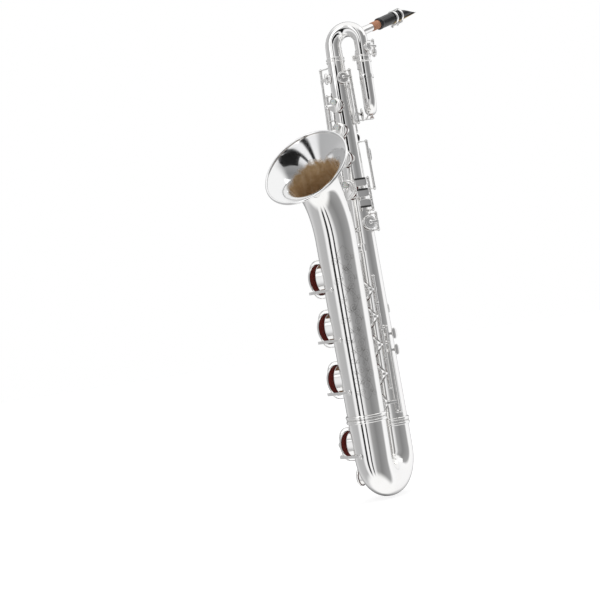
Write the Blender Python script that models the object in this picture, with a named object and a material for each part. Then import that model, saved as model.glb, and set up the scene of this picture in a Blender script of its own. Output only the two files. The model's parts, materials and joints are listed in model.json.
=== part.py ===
"""A low-A baritone saxophone, modelled as the separate pieces it is assembled from.

Units are metres and +Z is up. The pieces are laid out with the body tube on the Z axis and
z = 0 at the bow's lowest point. The bell faces -Y, the player stands at +Y, and the player's
left is +X. Angles called phi are measured around a tube's axis, from -Y (0) towards +X (90).
At the end everything is moved together, so that the origin is the middle of the floor of
the whole saxophone's box.
"""
import math

import bmesh
import bpy
from mathutils import Matrix, Vector

# ---- driving dimensions -------------------------------------------------------------
GAP = 0.0003                    # running gap between neighbouring pieces
WALL = 0.001                    # wall of the tubes

BODY_RING_Z = 0.160             # joint between bow and body tube
BELL_RING_Z = 0.184             # joint between bow and bell
BODY_TOP_Z = 1.000              # joint between body tube and upper bow
BODY_R_LOW = 0.0363
BODY_R_TOP = 0.0190

BELL_Y = -0.118                 # bell axis at the bow
BELL_R_LOW = 0.0415
BELL_R_STRAIGHT = 0.0450
BELL_STRAIGHT = 0.390           # length of the nearly straight part of the bell
BELL_TILT = 1.75                # lean of the straight part, degrees
BELL_BEND_R = 0.205
BELL_RIM_TILT = 54.0
BELL_RIM_R = 0.1005
FLARE_POWER = 7.0               # how late the flare opens
RIM_BEAD = 0.0026               # radius of the rolled edge
FLARE_SHARES = (0, 0.45, 0.65, 0.77, 0.86, 0.92, 0.97)   # places of the bell's rings along its bend
BRACE_Z = 0.557                 # strut between bell and body tube

BOW_CENTRE_Z = 0.0990

LOOP_X, LOOP_Y = 0.068, 0.007   # descending tube of the loop
RETURN_X, RETURN_Y = 0.043, 0.050   # ascending tube, which takes the neck
ARCH_Z = 1.024                  # centre of the upper bow
LOOP_TOP_Z = 0.985              # joint of upper bow and loop tube, and the loop's open end
LOOP_BEND_Z = 0.8935            # centre of the small U-bend
LOOP_R_START = 0.0148
LOOP_R_END = 0.0115

NECK_TURN = 25.0                # swing of the neck from +Y towards +X
NECK_RISE = 20.0
NECK_BEND_R = 0.030
NECK_Z = 1.034                  # start of the neck's bend
NECK_STRAIGHT = 0.071
NECK_R_START, NECK_R_END = 0.0114, 0.0078
MOUTHPIECE_LENGTH = 0.119
MOUTH_R = 0.0135
TABLE_Y = -0.0108               # flat table that the reed lies on, below the mouthpiece's axis
NECK_INSERT = 0.024             # how far the neck goes into the mouthpiece
REED_START = 0.047              # the reed's heel, from the mouthpiece's open end
LIGATURE_IN, LIGATURE_OUT = 0.0152, 0.0161
LIGATURE_BANDS = (0.053, 0.071)
BARREL_SCREW_DROP = 0.0168      # the ligature screws' distance below the mouthpiece's axis
RECEIVER_IN, RECEIVER_OUT = 0.0119, 0.0142
CLAMP_SCREW_X = -0.0185         # the neck clamp's screw, beside the receiver's axis

POST_R = 0.0019
HEAD_R = 0.0043                 # ball head of a post, around the hinge rod
HEAD_T = 0.0056
HINGE_R = 0.0031
BORE_R = 0.0022
ROD_R = 0.0015
CHIMNEY = 0.0045                # height of a tone hole's rim above the tube
CUP_T = 0.0058                  # height of a closed key cup, with its pad
CUP_OVER = 0.0030               # how far a cup's radius exceeds its tone hole's
HOLE_SIDES = 14                 # sides of the round pieces, by size
TUBE_SIDES = 20
LOOP_SIDES = 14
KEY_SIDES = 8
ARM_W = 0.0062                  # arm of a key
ARM_T = 0.0030
STRAP_RING_R, STRAP_RING_OUT = 0.0082, 0.0150   # its middle circle, and its height above the tube
GUARD_W, GUARD_T = 0.0065, 0.0016
GUARD_CLEAR = 0.0145            # from the middle of an open cup to the crest of its guard
GUARD_SEAT = 0.0022             # how far the felt's seat stands below the crest
GUARD_FOOT_TURN = 78            # the front foot's place round the bell, degrees from the cup

# ---- layout: (phi, along) places and cup radii --------------------------------------
STACK_OPEN, BELL_OPEN = 9.0, 12.0
SEAT = HEAD_T / 2 + GAP         # from a post's middle to the end of the next hinge tube

LOWER_PHI, LOWER_HINGE, LOWER_OUT = -12, 38, 0.013
LOWER_POSTS = (0.2375, 0.3025, 0.3675, 0.430, 0.490)
LOWER_KEYS = (("d_key", 0.270, 0.0265), ("e_key", 0.335, 0.0260), ("f_key", 0.399, 0.0250),
              ("fsharp_key", 0.460, 0.0235))

UPPER_PHI, UPPER_HINGE, UPPER_OUT = 4, -68, 0.0115
UPPER_POSTS = (0.655, 0.728, 0.7985, 0.858, 0.915)
UPPER_KEYS = (("g_key", 0.6915, 0.0230), ("a_key", 0.763, 0.0205), ("b_key", 0.828, 0.0180),
              ("c_key", 0.8865, 0.0165))

BELL_PHI, BELL_HINGE, BELL_OUT = -90, -150, 0.012
BELL_KEYS = (("low_c_key", 0.130, 0.0300), ("low_b_key", 0.273, 0.0345), ("low_bb_key", 0.388, 0.0350),
             ("low_a_key", 0.498, 0.0355))
BELL_SPANS = ((0.2080, 0.2340), (0.2463, 0.306), (0.355, 0.421), (0.465, 0.531))

PINKY_HINGE, PINKY_OUT = 54, 0.013
PINKY_POSTS = (0.182, 0.3385, 0.3745)
EB_PLACE, EB_R = (LOWER_PHI, 0.205), 0.0240

GSHARP_PLACE, GSHARP_R = (62, 0.612), 0.0165
GSHARP_HINGE, GSHARP_POSTS = 98, (0.594, 0.632)
TABLE_HINGE, TABLE_OUT = 84, 0.012
TABLE_POSTS = (0.640, 0.6645, 0.689, 0.7135)

SIDE_HINGE = -97
SIDE_BB_OUT, SIDE_BB_POSTS, SIDE_BB_PLACE, SIDE_BB_R = 0.012, (0.515, 0.846), (-138, 0.800), 0.0150
HIGH_E_OUT, HIGH_E_POSTS, HIGH_E_PLACE, HIGH_E_R = 0.026, (0.495, 0.982), (-60, 0.955), 0.0125

PALM_HINGE, PALM_OUT, PALM_POSTS = 92, 0.011, (0.842, 0.965)
PALM_D_PLACE, PALM_D_R = (50, 0.948), 0.0135
HIGH_F_PLACE, HIGH_F_R = (75, 0.020), 0.0115

CSHARP_TURN, CSHARP_R = 50, 0.0215
CSHARP_HINGE, CSHARP_OUT, CSHARP_POSTS = -140, 0.012, (-0.020, 0.020)

OCTAVE_PHI, OCTAVE_Z, VENT_R = -160, 0.925, 0.0065
OCTAVE_HINGE, OCTAVE_OUT, OCTAVE_POSTS = 166, 0.0125, (0.830, 0.852, 0.945)
THUMB_A_HINGE, THUMB_A_OUT, THUMB_A_POSTS = 122, 0.018, (0.690, 0.800)
HIGH_F_HINGE, HIGH_F_OUT, HIGH_F_POSTS = 122, 0.011, (0.005, 0.036)


MATERIALS = {
    "silver_plate": ((0.90, 0.89, 0.87), 0.12, 1.0),
    "key_silver": ((0.86, 0.85, 0.83), 0.18, 1.0),
    "rod_steel": ((0.55, 0.55, 0.56), 0.30, 1.0),
    "pad_leather": ((0.30, 0.05, 0.04), 0.70, 0.0),
    "cork": ((0.62, 0.33, 0.20), 0.85, 0.0),
    "ebonite": ((0.02, 0.02, 0.025), 0.28, 0.0),
    "reed_cane": ((0.80, 0.66, 0.40), 0.60, 0.0),
}

made = []


# ---- small modelling tools ----------------------------------------------------------
def clear_scene():
    for item in list(bpy.data.objects):
        bpy.data.objects.remove(item, do_unlink=True)


def material(name):
    found = bpy.data.materials.get(name)
    if found:
        return found
    colour, roughness, metallic = MATERIALS[name]
    new = bpy.data.materials.new(name)
    new.use_nodes = True
    shader = new.node_tree.nodes["Principled BSDF"]
    shader.inputs["Base Color"].default_value = (*colour, 1.0)
    shader.inputs["Roughness"].default_value = roughness
    shader.inputs["Metallic"].default_value = metallic
    return new


def to_object(mesh_data, name="helper"):
    bmesh.ops.recalc_face_normals(mesh_data, faces=mesh_data.faces[:])
    mesh = bpy.data.meshes.new(name)
    mesh_data.to_mesh(mesh)
    mesh_data.free()
    item = bpy.data.objects.new(name, mesh)
    bpy.context.scene.collection.objects.link(item)
    return item


def rotation_to(direction):
    return Vector(direction).to_track_quat("Z", "Y").to_matrix().to_4x4()


def lathe(profile, segments=20, matrix=None):
    """Turn an open profile of (radius, height) around Z; a zero radius makes a pole."""
    work = bmesh.new()
    rings = []
    for radius, height in profile:
        if radius < 1e-9:
            rings.append([work.verts.new((0, 0, height))])
            continue
        turn = [2 * math.pi * i / segments for i in range(segments)]
        rings.append([work.verts.new((radius * math.cos(a), radius * math.sin(a), height))
                      for a in turn])
    for low, high in zip(rings, rings[1:]):
        for i in range(segments):
            j = (i + 1) % segments
            corners = [low[i % len(low)], low[j % len(low)], high[j % len(high)], high[i % len(high)]]
            unique = list(dict.fromkeys(corners))
            if len(unique) > 2:
                work.faces.new(unique)
    if matrix is not None:
        bmesh.ops.transform(work, matrix=matrix, verts=work.verts[:])
    return to_object(work)


def lathe_ring(profile, segments, matrix):
    """Turn a closed outline that stays off the axis into a ring."""
    work = bmesh.new()
    outline = profile[:-1]
    loops = []
    for i in range(segments):
        angle = 2 * math.pi * (i + 0.5) / segments
        loops.append([work.verts.new((r * math.cos(angle), r * math.sin(angle), h)) for r, h in outline])
    for low, high in zip(loops, loops[1:] + loops[:1]):
        for i in range(len(outline)):
            j = (i + 1) % len(outline)
            work.faces.new((low[i], low[j], high[j], high[i]))
    bmesh.ops.transform(work, matrix=matrix, verts=work.verts[:])
    return to_object(work)


def ring_profile(inner, outer, low, high):
    return [(inner, low), (outer, low), (outer, high), (inner, high), (inner, low)]


def tube_cutter(cone, low, high, extra):
    return rod(cone.start + cone.axis * low, cone.start + cone.axis * high,
               cone.radius(low) + extra, 32, cone.radius(high) + extra)


def rod(start, end, radius, segments=8, end_radius=None):
    start, end = Vector(start), Vector(end)
    length = (end - start).length
    far = radius if end_radius is None else end_radius
    place = Matrix.Translation(start) @ rotation_to(end - start)
    return lathe([(0, 0), (radius, 0), (far, length), (0, length)], segments, place)


def disc(frame, radius, low, high, segments=12):
    """A flat cylinder on a frame's Z axis."""
    return lathe([(0, low), (radius, low), (radius, high), (0, high)], segments, frame)


def ball(centre, radius, segments=10):
    steps = 5
    profile = [(radius * math.sin(math.pi * k / steps), -radius * math.cos(math.pi * k / steps))
               for k in range(steps + 1)]
    return lathe(profile, segments, Matrix.Translation(centre))


def bar(points, width, thickness, side):
    """Sweep a rectangle along a line of points; its width lies along side."""
    points = [Vector(p) for p in points]
    side = Vector(side).normalized()
    work = bmesh.new()
    rings = []
    for index, point in enumerate(points):
        before = points[max(index - 1, 0)]
        after = points[min(index + 1, len(points) - 1)]
        along = (after - before).normalized()
        across = (side - along * side.dot(along)).normalized()
        up = along.cross(across)
        half_w, half_t = across * width / 2, up * thickness / 2
        corners = (half_w + half_t, half_t - half_w, -half_w - half_t, half_w - half_t)
        rings.append([work.verts.new(point + c) for c in corners])
    for low, high in zip(rings, rings[1:]):
        for i in range(4):
            j = (i + 1) % 4
            work.faces.new((low[i], low[j], high[j], high[i]))
    work.faces.new(rings[0])
    work.faces.new(rings[-1])
    return to_object(work)


def shell(line, rings, segments, side=(1, 0, 0)):
    """A closed surface of rings (distance along the line, radius), the last joined to the first."""
    side = Vector(side).normalized()
    work = bmesh.new()
    loops = []
    for distance, radius in rings:
        centre, along = line.at(distance)
        other = along.cross(side).normalized()
        turn = [2 * math.pi * (i + 0.5) / segments for i in range(segments)]
        loops.append([work.verts.new(centre + side * radius * math.cos(a) + other * radius * math.sin(a))
                      for a in turn])
    for low, high in zip(loops, loops[1:] + loops[:1]):
        for i in range(segments):
            j = (i + 1) % segments
            work.faces.new((low[i], low[j], high[j], high[i]))
    return to_object(work)


def apply_modifiers(item):
    bpy.context.view_layer.update()
    graph = bpy.context.evaluated_depsgraph_get()
    mesh = bpy.data.meshes.new_from_object(item.evaluated_get(graph))
    item.modifiers.clear()
    item.data = mesh


def weld(item):
    """Merge points that a Boolean leaves closer than a hundredth of a millimetre."""
    work = bmesh.new()
    work.from_mesh(item.data)
    bmesh.ops.remove_doubles(work, verts=work.verts[:], dist=0.00001)
    bmesh.ops.dissolve_degenerate(work, edges=work.edges[:], dist=0.00001)
    work.to_mesh(item.data)
    work.free()


def closed(mesh):
    work = bmesh.new()
    work.from_mesh(mesh)
    good = len(work.faces) > 0 and all(len(edge.link_faces) == 2 for edge in work.edges)
    work.free()
    return good


def boolean(item, helpers, operation):
    """Join or cut the helpers one after another, and delete them.

    The exact solver is tried first; the manifold one takes over where it leaves a gap.
    """
    for helper in helpers:
        before = item.data.copy()
        for solver in ("EXACT", "MANIFOLD"):
            item.data = before.copy()
            step = item.modifiers.new(operation, "BOOLEAN")
            step.operation = operation
            step.object = helper
            step.solver = solver
            apply_modifiers(item)
            weld(item)
            if closed(item.data):
                break
        bpy.data.objects.remove(helper, do_unlink=True)


def part(name, finish, base, add=(), cut=(), smooth=True):
    """Join the helpers to base, cut the cutters from it, and make it the named part."""
    boolean(base, list(add), "UNION")
    boolean(base, list(cut), "DIFFERENCE")
    base.name = name
    base.data.name = name
    base.data.materials.clear()
    base.data.materials.append(material(finish))
    if smooth:
        base.data.shade_smooth()
        base.data.set_sharp_from_angle(angle=math.radians(35))
    made.append(base)
    return base


def hang(item, pivot, axis):
    """Put the object's origin on its joint, with its own Z along the joint's axis."""
    place = Matrix.Translation(pivot) @ rotation_to(axis)
    item.data.transform(place.inverted())
    item.matrix_world = place


# ---- centre lines and tube surfaces -------------------------------------------------
class Line:
    """A centre line made of points; at(d) gives the place and direction d along it."""

    def __init__(self, points):
        self.points = [Vector(p) for p in points]
        self.steps = [(b - a).length for a, b in zip(self.points, self.points[1:])]
        self.length = sum(self.steps)

    def at(self, distance):
        left = distance
        for index, step in enumerate(self.steps):
            last = index == len(self.steps) - 1
            if left <= step + 1e-9 or last:
                break
            left -= step
        here = self.direction(index)
        place = self.points[index] + here * left
        if abs(left) < 1e-6 and index > 0:
            return place, (here + self.direction(index - 1)).normalized()
        if abs(left - step) < 1e-6 and not last:
            return place, (here + self.direction(index + 1)).normalized()
        return place, here

    def direction(self, index):
        return (self.points[index + 1] - self.points[index]).normalized()

    def stations(self):
        total, found = 0.0, [0.0]
        for step in self.steps:
            total += step
            found.append(total)
        return found


def arc_points(centre, first, second, radius, begin, end, steps):
    """Points on an arc in the plane of two unit vectors, from begin to end degrees."""
    points = []
    for k in range(steps + 1):
        angle = math.radians(begin + (end - begin) * k / steps)
        points.append(Vector(centre) + Vector(first) * radius * math.cos(angle)
                      + Vector(second) * radius * math.sin(angle))
    return points


def hollow(line, radius_at, segments, side=(1, 0, 0)):
    outer = [(d, radius_at(d)) for d in line.stations()]
    inner = [(d, r - WALL) for d, r in reversed(outer)]
    return shell(line, outer + inner, segments, side)


class Cone:
    """The outer surface of a tapered tube; place() gives frames standing on it."""

    def __init__(self, start, end, r_start, r_end):
        self.start, self.end = Vector(start), Vector(end)
        self.axis = (self.end - self.start).normalized()
        self.length = (self.end - self.start).length
        self.r_start, self.slope = r_start, (r_end - r_start) / self.length
        self.front = (Vector((0, -1, 0)) + self.axis * self.axis.y).normalized()
        self.left = self.front.cross(self.axis) * -1

    def radius(self, along):
        return self.r_start + self.slope * along

    def place(self, phi, along, out=0.0):
        """Columns: tangent, up the surface, outward normal, and the point itself."""
        turn = math.radians(phi)
        radial = self.front * math.cos(turn) + self.left * math.sin(turn)
        upward = (self.axis + radial * self.slope).normalized()
        tangent = self.left * math.cos(turn) - self.front * math.sin(turn)
        normal = tangent.cross(upward)
        point = self.start + self.axis * along + radial * self.radius(along) + normal * out
        frame = Matrix((tangent, upward, normal)).transposed().to_4x4()
        frame.translation = point
        return frame

    def point(self, phi, along, out=0.0):
        return self.place(phi, along, out).translation


def body_cone():
    return Cone((0, 0, 0), (0, 0, BODY_TOP_Z),
                BODY_R_LOW + (BODY_R_LOW - BODY_R_TOP) * BODY_RING_Z / (BODY_TOP_Z - BODY_RING_Z),
                BODY_R_TOP)


def bell_cone():
    """The bell's straight part, with distances along it equal to z at its axis's foot."""
    lean = math.radians(BELL_TILT)
    direction = Vector((0, -math.sin(lean), math.cos(lean)))
    foot = Vector((0, BELL_Y, BELL_RING_Z)) - direction * BELL_RING_Z
    slope = (BELL_R_STRAIGHT - BELL_R_LOW) / BELL_STRAIGHT
    reach = BELL_RING_Z + BELL_STRAIGHT
    return Cone(foot, foot + direction * reach, BELL_R_LOW - slope * BELL_RING_Z, BELL_R_STRAIGHT)


BODY = body_cone()
BELL = bell_cone()


def bow_half():
    """Half the distance between the two legs of the bow where its bend begins."""
    return -(BELL.start + BELL.axis * BOW_CENTRE_Z).y / 2


def bow_line():
    half = bow_half()
    bend = arc_points((0, -half, BOW_CENTRE_Z), (0, 1, 0), (0, 0, -1), half, 0, 180, 9)
    top = BELL.start + BELL.axis * (BELL_RING_Z - GAP / 2)
    return Line([(0, 0, BODY_RING_Z - GAP / 2)] + bend + [top])


def bow_radius(distance, length):
    return BODY_R_LOW + (BELL_R_LOW - BODY_R_LOW) * distance / length


def bell_line():
    start = BELL.start + BELL.axis * (BELL_RING_Z + GAP / 2)
    bend_start = BELL.end
    back = Vector((0, -BELL.axis.z, BELL.axis.y))
    centre = bend_start + back * BELL_BEND_R
    turn = BELL_RIM_TILT - BELL_TILT
    bend = arc_points(centre, -back, BELL.axis, BELL_BEND_R, 0, turn, 11)
    return Line([start] + bend)


def loop_side():
    """Level, and square to the plane that the loop tube bends in."""
    return Vector((RETURN_Y - LOOP_Y, LOOP_X - RETURN_X, 0)).normalized()


def arch_line():
    across = Vector((LOOP_X, LOOP_Y, 0))
    bend = arc_points((LOOP_X / 2, LOOP_Y / 2, ARCH_Z), -across.normalized(), (0, 0, 1),
                      across.length / 2, 0, 180, 9)
    return Line([(0, 0, BODY_TOP_Z + GAP)] + bend + [(LOOP_X, LOOP_Y, LOOP_TOP_Z + GAP)])


def loop_line():
    begin, finish = Vector((LOOP_X, LOOP_Y, 0)), Vector((RETURN_X, RETURN_Y, 0))
    across = finish - begin
    centre = (begin + finish) / 2 + Vector((0, 0, LOOP_BEND_Z))
    bend = arc_points(centre, -across.normalized(), (0, 0, -1), across.length / 2, 0, 180, 8)
    return Line([begin + Vector((0, 0, LOOP_TOP_Z))] + bend + [finish + Vector((0, 0, LOOP_TOP_Z))])


def neck_line():
    turn, rise = math.radians(NECK_TURN), math.radians(NECK_RISE)
    outward = Vector((math.sin(turn), math.cos(turn), 0))
    centre = Vector((RETURN_X, RETURN_Y, NECK_Z)) + outward * NECK_BEND_R
    bend = arc_points(centre, -outward, (0, 0, 1), NECK_BEND_R, 0, 90 - NECK_RISE, 5)
    aim = outward * math.cos(rise) + Vector((0, 0, math.sin(rise)))
    tip = bend[-1] + aim * NECK_STRAIGHT
    return Line([(RETURN_X, RETURN_Y, LOOP_TOP_Z + 0.002)] + bend + [tip]), outward, aim


# ---- tone holes, posts and ribs -----------------------------------------------------
def chimneys(cone, holes, extra_depth=0.0):
    """Rims and bores for (phi, along, cup radius) on a tube whose outside is the cone."""
    rims, bores = [], []
    for phi, along, cup_radius in holes:
        frame = cone.place(phi, along)
        radius = cup_radius - CUP_OVER
        tube = cone.radius(along)
        sink = tube - math.sqrt(tube ** 2 - radius ** 2) + WALL
        rim = lathe([(0, -sink), (radius, -sink), (radius, CHIMNEY), (0, CHIMNEY)], HOLE_SIDES, frame)
        near = cone.start + cone.axis * (along - 2 * radius)
        far = cone.start + cone.axis * (along + 2 * radius)
        core = rod(near, far, cone.radius(along - 2 * radius) - WALL / 2, TUBE_SIDES,
                   cone.radius(along + 2 * radius) - WALL / 2)
        boolean(rim, [core], "DIFFERENCE")
        rims.append(rim)
        inside, deep = radius - WALL, sink + 2 * WALL + extra_depth
        bores.append(lathe([(0, -deep), (inside, -deep), (inside, 2 * CHIMNEY), (0, 2 * CHIMNEY)],
                           HOLE_SIDES, frame))
    return rims, bores


def posts(cone, phi, places, out, foot=-WALL / 2):
    """Pillars with round heads on a hinge line; foot is where they start above the tube."""
    made_posts = []
    along_hinge = (cone.point(phi, 1, out) - cone.point(phi, 0, out)).normalized()
    for along in places:
        head = cone.point(phi, along, out)
        made_posts.append(rod(cone.point(phi, along, foot), head, POST_R, 6))
        half = along_hinge * HEAD_T / 2
        made_posts.append(rod(head - half, head + half, HEAD_R, KEY_SIDES))
    return made_posts


def rib(name, cone, phi, places, out, bored=False):
    """A strap soldered along the tube, carrying the posts of one group of keys."""
    thick = 0.0011
    centre = GAP + 0.0002 + thick / 2
    ends = [cone.point(phi, places[0] - 0.006, centre), cone.point(phi, places[-1] + 0.006, centre)]
    tangent = cone.place(phi, places[0]).col[0].to_3d()
    strap = bar(ends, 0.0064, thick, tangent)
    cutters = []
    if bored:
        cutters = [rod(cone.point(phi, places[0] - 0.02, out),
                       cone.point(phi, places[-1] + 0.02, out), BORE_R)]
    return part(name, "key_silver", strap, posts(cone, phi, places, out, centre), cutters, False)


def hinge_rod(name, cone, phi, places, out):
    reach = HEAD_T / 2 + 0.001
    part(name, "rod_steel", rod(cone.point(phi, places[0] - reach, out),
                                cone.point(phi, places[-1] + reach, out), ROD_R))


# ---- keys ---------------------------------------------------------------------------
def cup_solid(frame, radius, low, top, segments):
    profile = [(0, low), (radius, low), (radius, top - 0.0030), (radius * 0.72, top), (0, top)]
    return lathe(profile, segments, frame)


def turned(item, pivot, axis, degrees):
    spin = (Matrix.Translation(pivot) @ Matrix.Rotation(math.radians(degrees), 4, axis)
            @ Matrix.Translation(-pivot))
    item.data.transform(spin)


class Key:
    """A key on a hinge line beside a tube, gathered piece by piece and then joined."""

    def __init__(self, name, cone, hinge_phi, hinge_out, span, bored=False):
        self.name, self.cone, self.bored, self.span = name, cone, bored, span
        self.hinge_phi, self.hinge_out = hinge_phi, hinge_out
        self.low = cone.point(hinge_phi, span[0], hinge_out)
        self.high = cone.point(hinge_phi, span[1], hinge_out)
        self.axis = (self.high - self.low).normalized()
        self.pivot = (self.low + self.high) / 2
        self.pieces, self.pads, self.sign = [], [], 1

    def cup(self, cone, phi, along, radius, with_pad=False, stem=None):
        """A cup over the tone hole, its pad, and the arm from the hinge to the cup's top."""
        frame = cone.place(phi, along)
        segments = 16 if radius > 0.02 else 12
        low = CHIMNEY + GAP
        top = low + CUP_T
        cup = cup_solid(frame, radius, low, top, segments)
        if with_pad:
            pad_r = radius - 0.0016
            recess = low + 0.0032
            boolean(cup, [lathe([(0, low - 0.001), (pad_r, low - 0.001), (pad_r, recess),
                                 (0, recess)], segments, frame)], "DIFFERENCE")
            edge = pad_r - GAP
            pad = lathe([(0, low), (edge, low), (edge, recess - GAP), (0, recess - GAP)], segments, frame)
            self.pads.append(pad)
        root = cone_hinge_point(self, along) if stem is None else cone_hinge_point(self, stem)
        foot = frame.inverted() @ root
        t, s, n = foot
        path = [(t, s, n), (t * 0.95, s * 0.9, (n + top) / 2 + 0.002), (t * 0.76, s * 0.7, top + 0.0020),
                (0, 0, top - 0.0004)]
        width = ARM_W if radius > 0.02 else ARM_W * 0.75
        arm = bar([frame @ Vector(p) for p in path], width, ARM_T, frame.col[1].to_3d())
        boss = lathe([(0, top - 0.002), (width * 0.75, top - 0.002), (width * 0.55, top + 0.0022),
                      (0, top + 0.0022)], 8, frame)
        self.pieces += [cup, arm, boss]
        centre = frame @ Vector((0, 0, low))
        outward = frame.col[2].to_3d()
        self.sign = 1 if self.axis.cross(centre - root).dot(outward) > 0 else -1
        self.cup_frame, self.cup_top = frame, top
        return self

    def pearl(self, shift_t, shift_s, radius=0.0082):
        """A round finger button on the cup's arm."""
        top = self.cup_top
        place = self.cup_frame @ Matrix.Translation((shift_t, shift_s, 0))
        self.pieces.append(lathe([(0, top - 0.003), (radius * 0.8, top - 0.003), (radius, top + 0.0050),
                                  (0, top + 0.0044)], 12, place))
        return self

    def touch(self, phi, along, out, half_t, half_s, lift=0.0):
        """An oval finger plate joined to the hinge tube by an arm."""
        frame = self.cone.place(phi, along, out)
        plate = lathe([(0, -0.0013), (0.93, -0.0013), (1.0, 0.0), (0.90, 0.0014), (0, 0.0017)], 12,
                      frame @ Matrix.Diagonal((half_t, half_s, 1, 1)))
        root = cone_hinge_point(self, min(max(along, self.span[0] + 0.003), self.span[1] - 0.003))
        end = frame.translation
        rise = frame.col[2].to_3d()
        middle = (root + end) / 2 + rise * (0.002 + lift)
        self.pieces += [plate, bar([root, middle, end], 0.0058, 0.0026, frame.col[1].to_3d())]
        if not self.pads and not hasattr(self, "cup_frame"):
            self.sign = 1 if self.axis.cross(end - root).dot(rise) < 0 else -1
        return self

    def finish(self, open_angle=0.0, travel=None):
        """Join the key; open_angle lifts a key that stands open at rest."""
        tube = rod(self.low, self.high, HINGE_R, KEY_SIDES)
        bores = []
        if self.bored:
            reach = self.axis * 0.01
            bores = [rod(self.low - reach, self.high + reach, BORE_R)]
        item = part(self.name, "key_silver", tube, self.pieces, bores)
        solids = [item]
        for pad in self.pads:
            solids.append(part(self.name.replace("_key", "_pad"), "pad_leather", pad))
        for solid in solids:
            if open_angle:
                turned(solid, self.pivot, self.axis * self.sign, open_angle)
            press = self.axis * (-self.sign if open_angle else self.sign)
            hang(solid, self.pivot, press)


def cone_hinge_point(key, along):
    return key.cone.point(key.hinge_phi, along, key.hinge_out)


def leg_cone(x, y, low, high, r_low, r_high):
    return Cone((x, y, low), (x, y, high), r_low, r_high)


def build_body():
    height = BODY_TOP_Z - BODY_RING_Z
    line = Line([(0, 0, BODY_RING_Z + GAP / 2), (0, 0, BODY_TOP_Z)])
    tube = hollow(line, lambda d: BODY_R_LOW + (BODY_R_TOP - BODY_R_LOW) * d / height, TUBE_SIDES)
    holes = [(LOWER_PHI, z, r) for _, z, r in LOWER_KEYS] + [(UPPER_PHI, z, r) for _, z, r in UPPER_KEYS]
    holes += [(*EB_PLACE, EB_R), (*GSHARP_PLACE, GSHARP_R), (*SIDE_BB_PLACE, SIDE_BB_R)]
    holes += [(*HIGH_E_PLACE, HIGH_E_R), (*PALM_D_PLACE, PALM_D_R), (OCTAVE_PHI, OCTAVE_Z, VENT_R)]
    rims, bores = chimneys(BODY, holes)
    rims += posts(BODY, PINKY_HINGE, PINKY_POSTS, PINKY_OUT)
    rims += posts(BODY, GSHARP_HINGE, GSHARP_POSTS, TABLE_OUT)
    rims += posts(BODY, TABLE_HINGE, TABLE_POSTS, TABLE_OUT)
    rims += posts(BODY, PALM_HINGE, PALM_POSTS, PALM_OUT)
    rims += posts(BODY, THUMB_A_HINGE, THUMB_A_POSTS, THUMB_A_OUT)
    rims += posts(BODY, OCTAVE_HINGE, OCTAVE_POSTS, OCTAVE_OUT)
    rims += posts(BODY, SIDE_HINGE, HIGH_E_POSTS, HIGH_E_OUT)
    part("body_tube", "silver_plate", tube, rims, bores)


def build_bow():
    line = bow_line()
    bow = hollow(line, lambda d: bow_radius(d, line.length), TUBE_SIDES)
    rims, bores = chimneys(BELL, [(BELL_PHI, BELL_KEYS[0][1], BELL_KEYS[0][2])])
    cone = csharp_cone()
    more_rims, more_bores = chimneys(cone, [(-90, 0, CSHARP_R)], 0.004)
    held = posts(cone, CSHARP_HINGE, CSHARP_POSTS, CSHARP_OUT)
    part("bow", "silver_plate", bow, rims + more_rims + held, bores + more_bores)


def csharp_cone():
    """A short stretch of the bow's bend, taken as straight, around the low C sharp hole."""
    half = bow_half()
    turn = math.radians(CSHARP_TURN)
    centre = Vector((0, -half - half * math.cos(turn), BOW_CENTRE_Z - half * math.sin(turn)))
    upward = Vector((0, -math.sin(turn), math.cos(turn)))
    radius = bow_radius(0.75, 1.0)
    return Cone(centre, centre + upward * 0.02, radius, radius)


def build_bell():
    line = bell_line()
    straight_end = BELL_STRAIGHT
    flare_length = line.length - straight_end

    def radius(distance):
        if distance <= straight_end:
            return BELL_R_LOW + (BELL_R_STRAIGHT - BELL_R_LOW) * distance / straight_end
        part_way = (distance - straight_end) / flare_length
        return BELL_R_STRAIGHT + (BELL_RIM_R - BELL_R_STRAIGHT) * part_way ** FLARE_POWER

    steps = [0.0] + [straight_end + flare_length * share for share in FLARE_SHARES]
    outer = [(d, radius(d)) for d in steps]
    bead = []
    rim = line.length
    for k in range(5):
        angle = math.radians(-60 + 300 * k / 4)
        bead.append((rim + RIM_BEAD * math.sin(angle), BELL_RIM_R - RIM_BEAD + RIM_BEAD * math.cos(angle)))
    inner = [(d, r - WALL) for d, r in reversed(outer)]
    bell = shell(line, outer + bead + inner, TUBE_SIDES)
    rims, bores = chimneys(BELL, [(BELL_PHI, z, r) for _, z, r in BELL_KEYS[1:]])
    part("bell", "silver_plate", bell, rims, bores)


def build_rings():
    for name, cone, z in (("body_bow_ring", BODY, BODY_RING_Z), ("bell_bow_ring", BELL, BELL_RING_Z)):
        inside = max(cone.radius(z - 0.01), cone.radius(z + 0.01)) + 2 * GAP
        profile = [(inside, -0.009)]
        for centre in (-0.005, 0.005):
            for step in range(3):
                angle = math.pi * (step / 2)
                profile.append((inside + 0.0014 + 0.0019 * math.sin(angle),
                                centre - 0.0030 * math.cos(angle)))
        profile += [(inside, 0.009)]
        profile.append(profile[0])
        place = Matrix.Translation(cone.start + cone.axis * z) @ rotation_to(cone.axis)
        part(name, "silver_plate", lathe_ring(profile, TUBE_SIDES, place))


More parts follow.
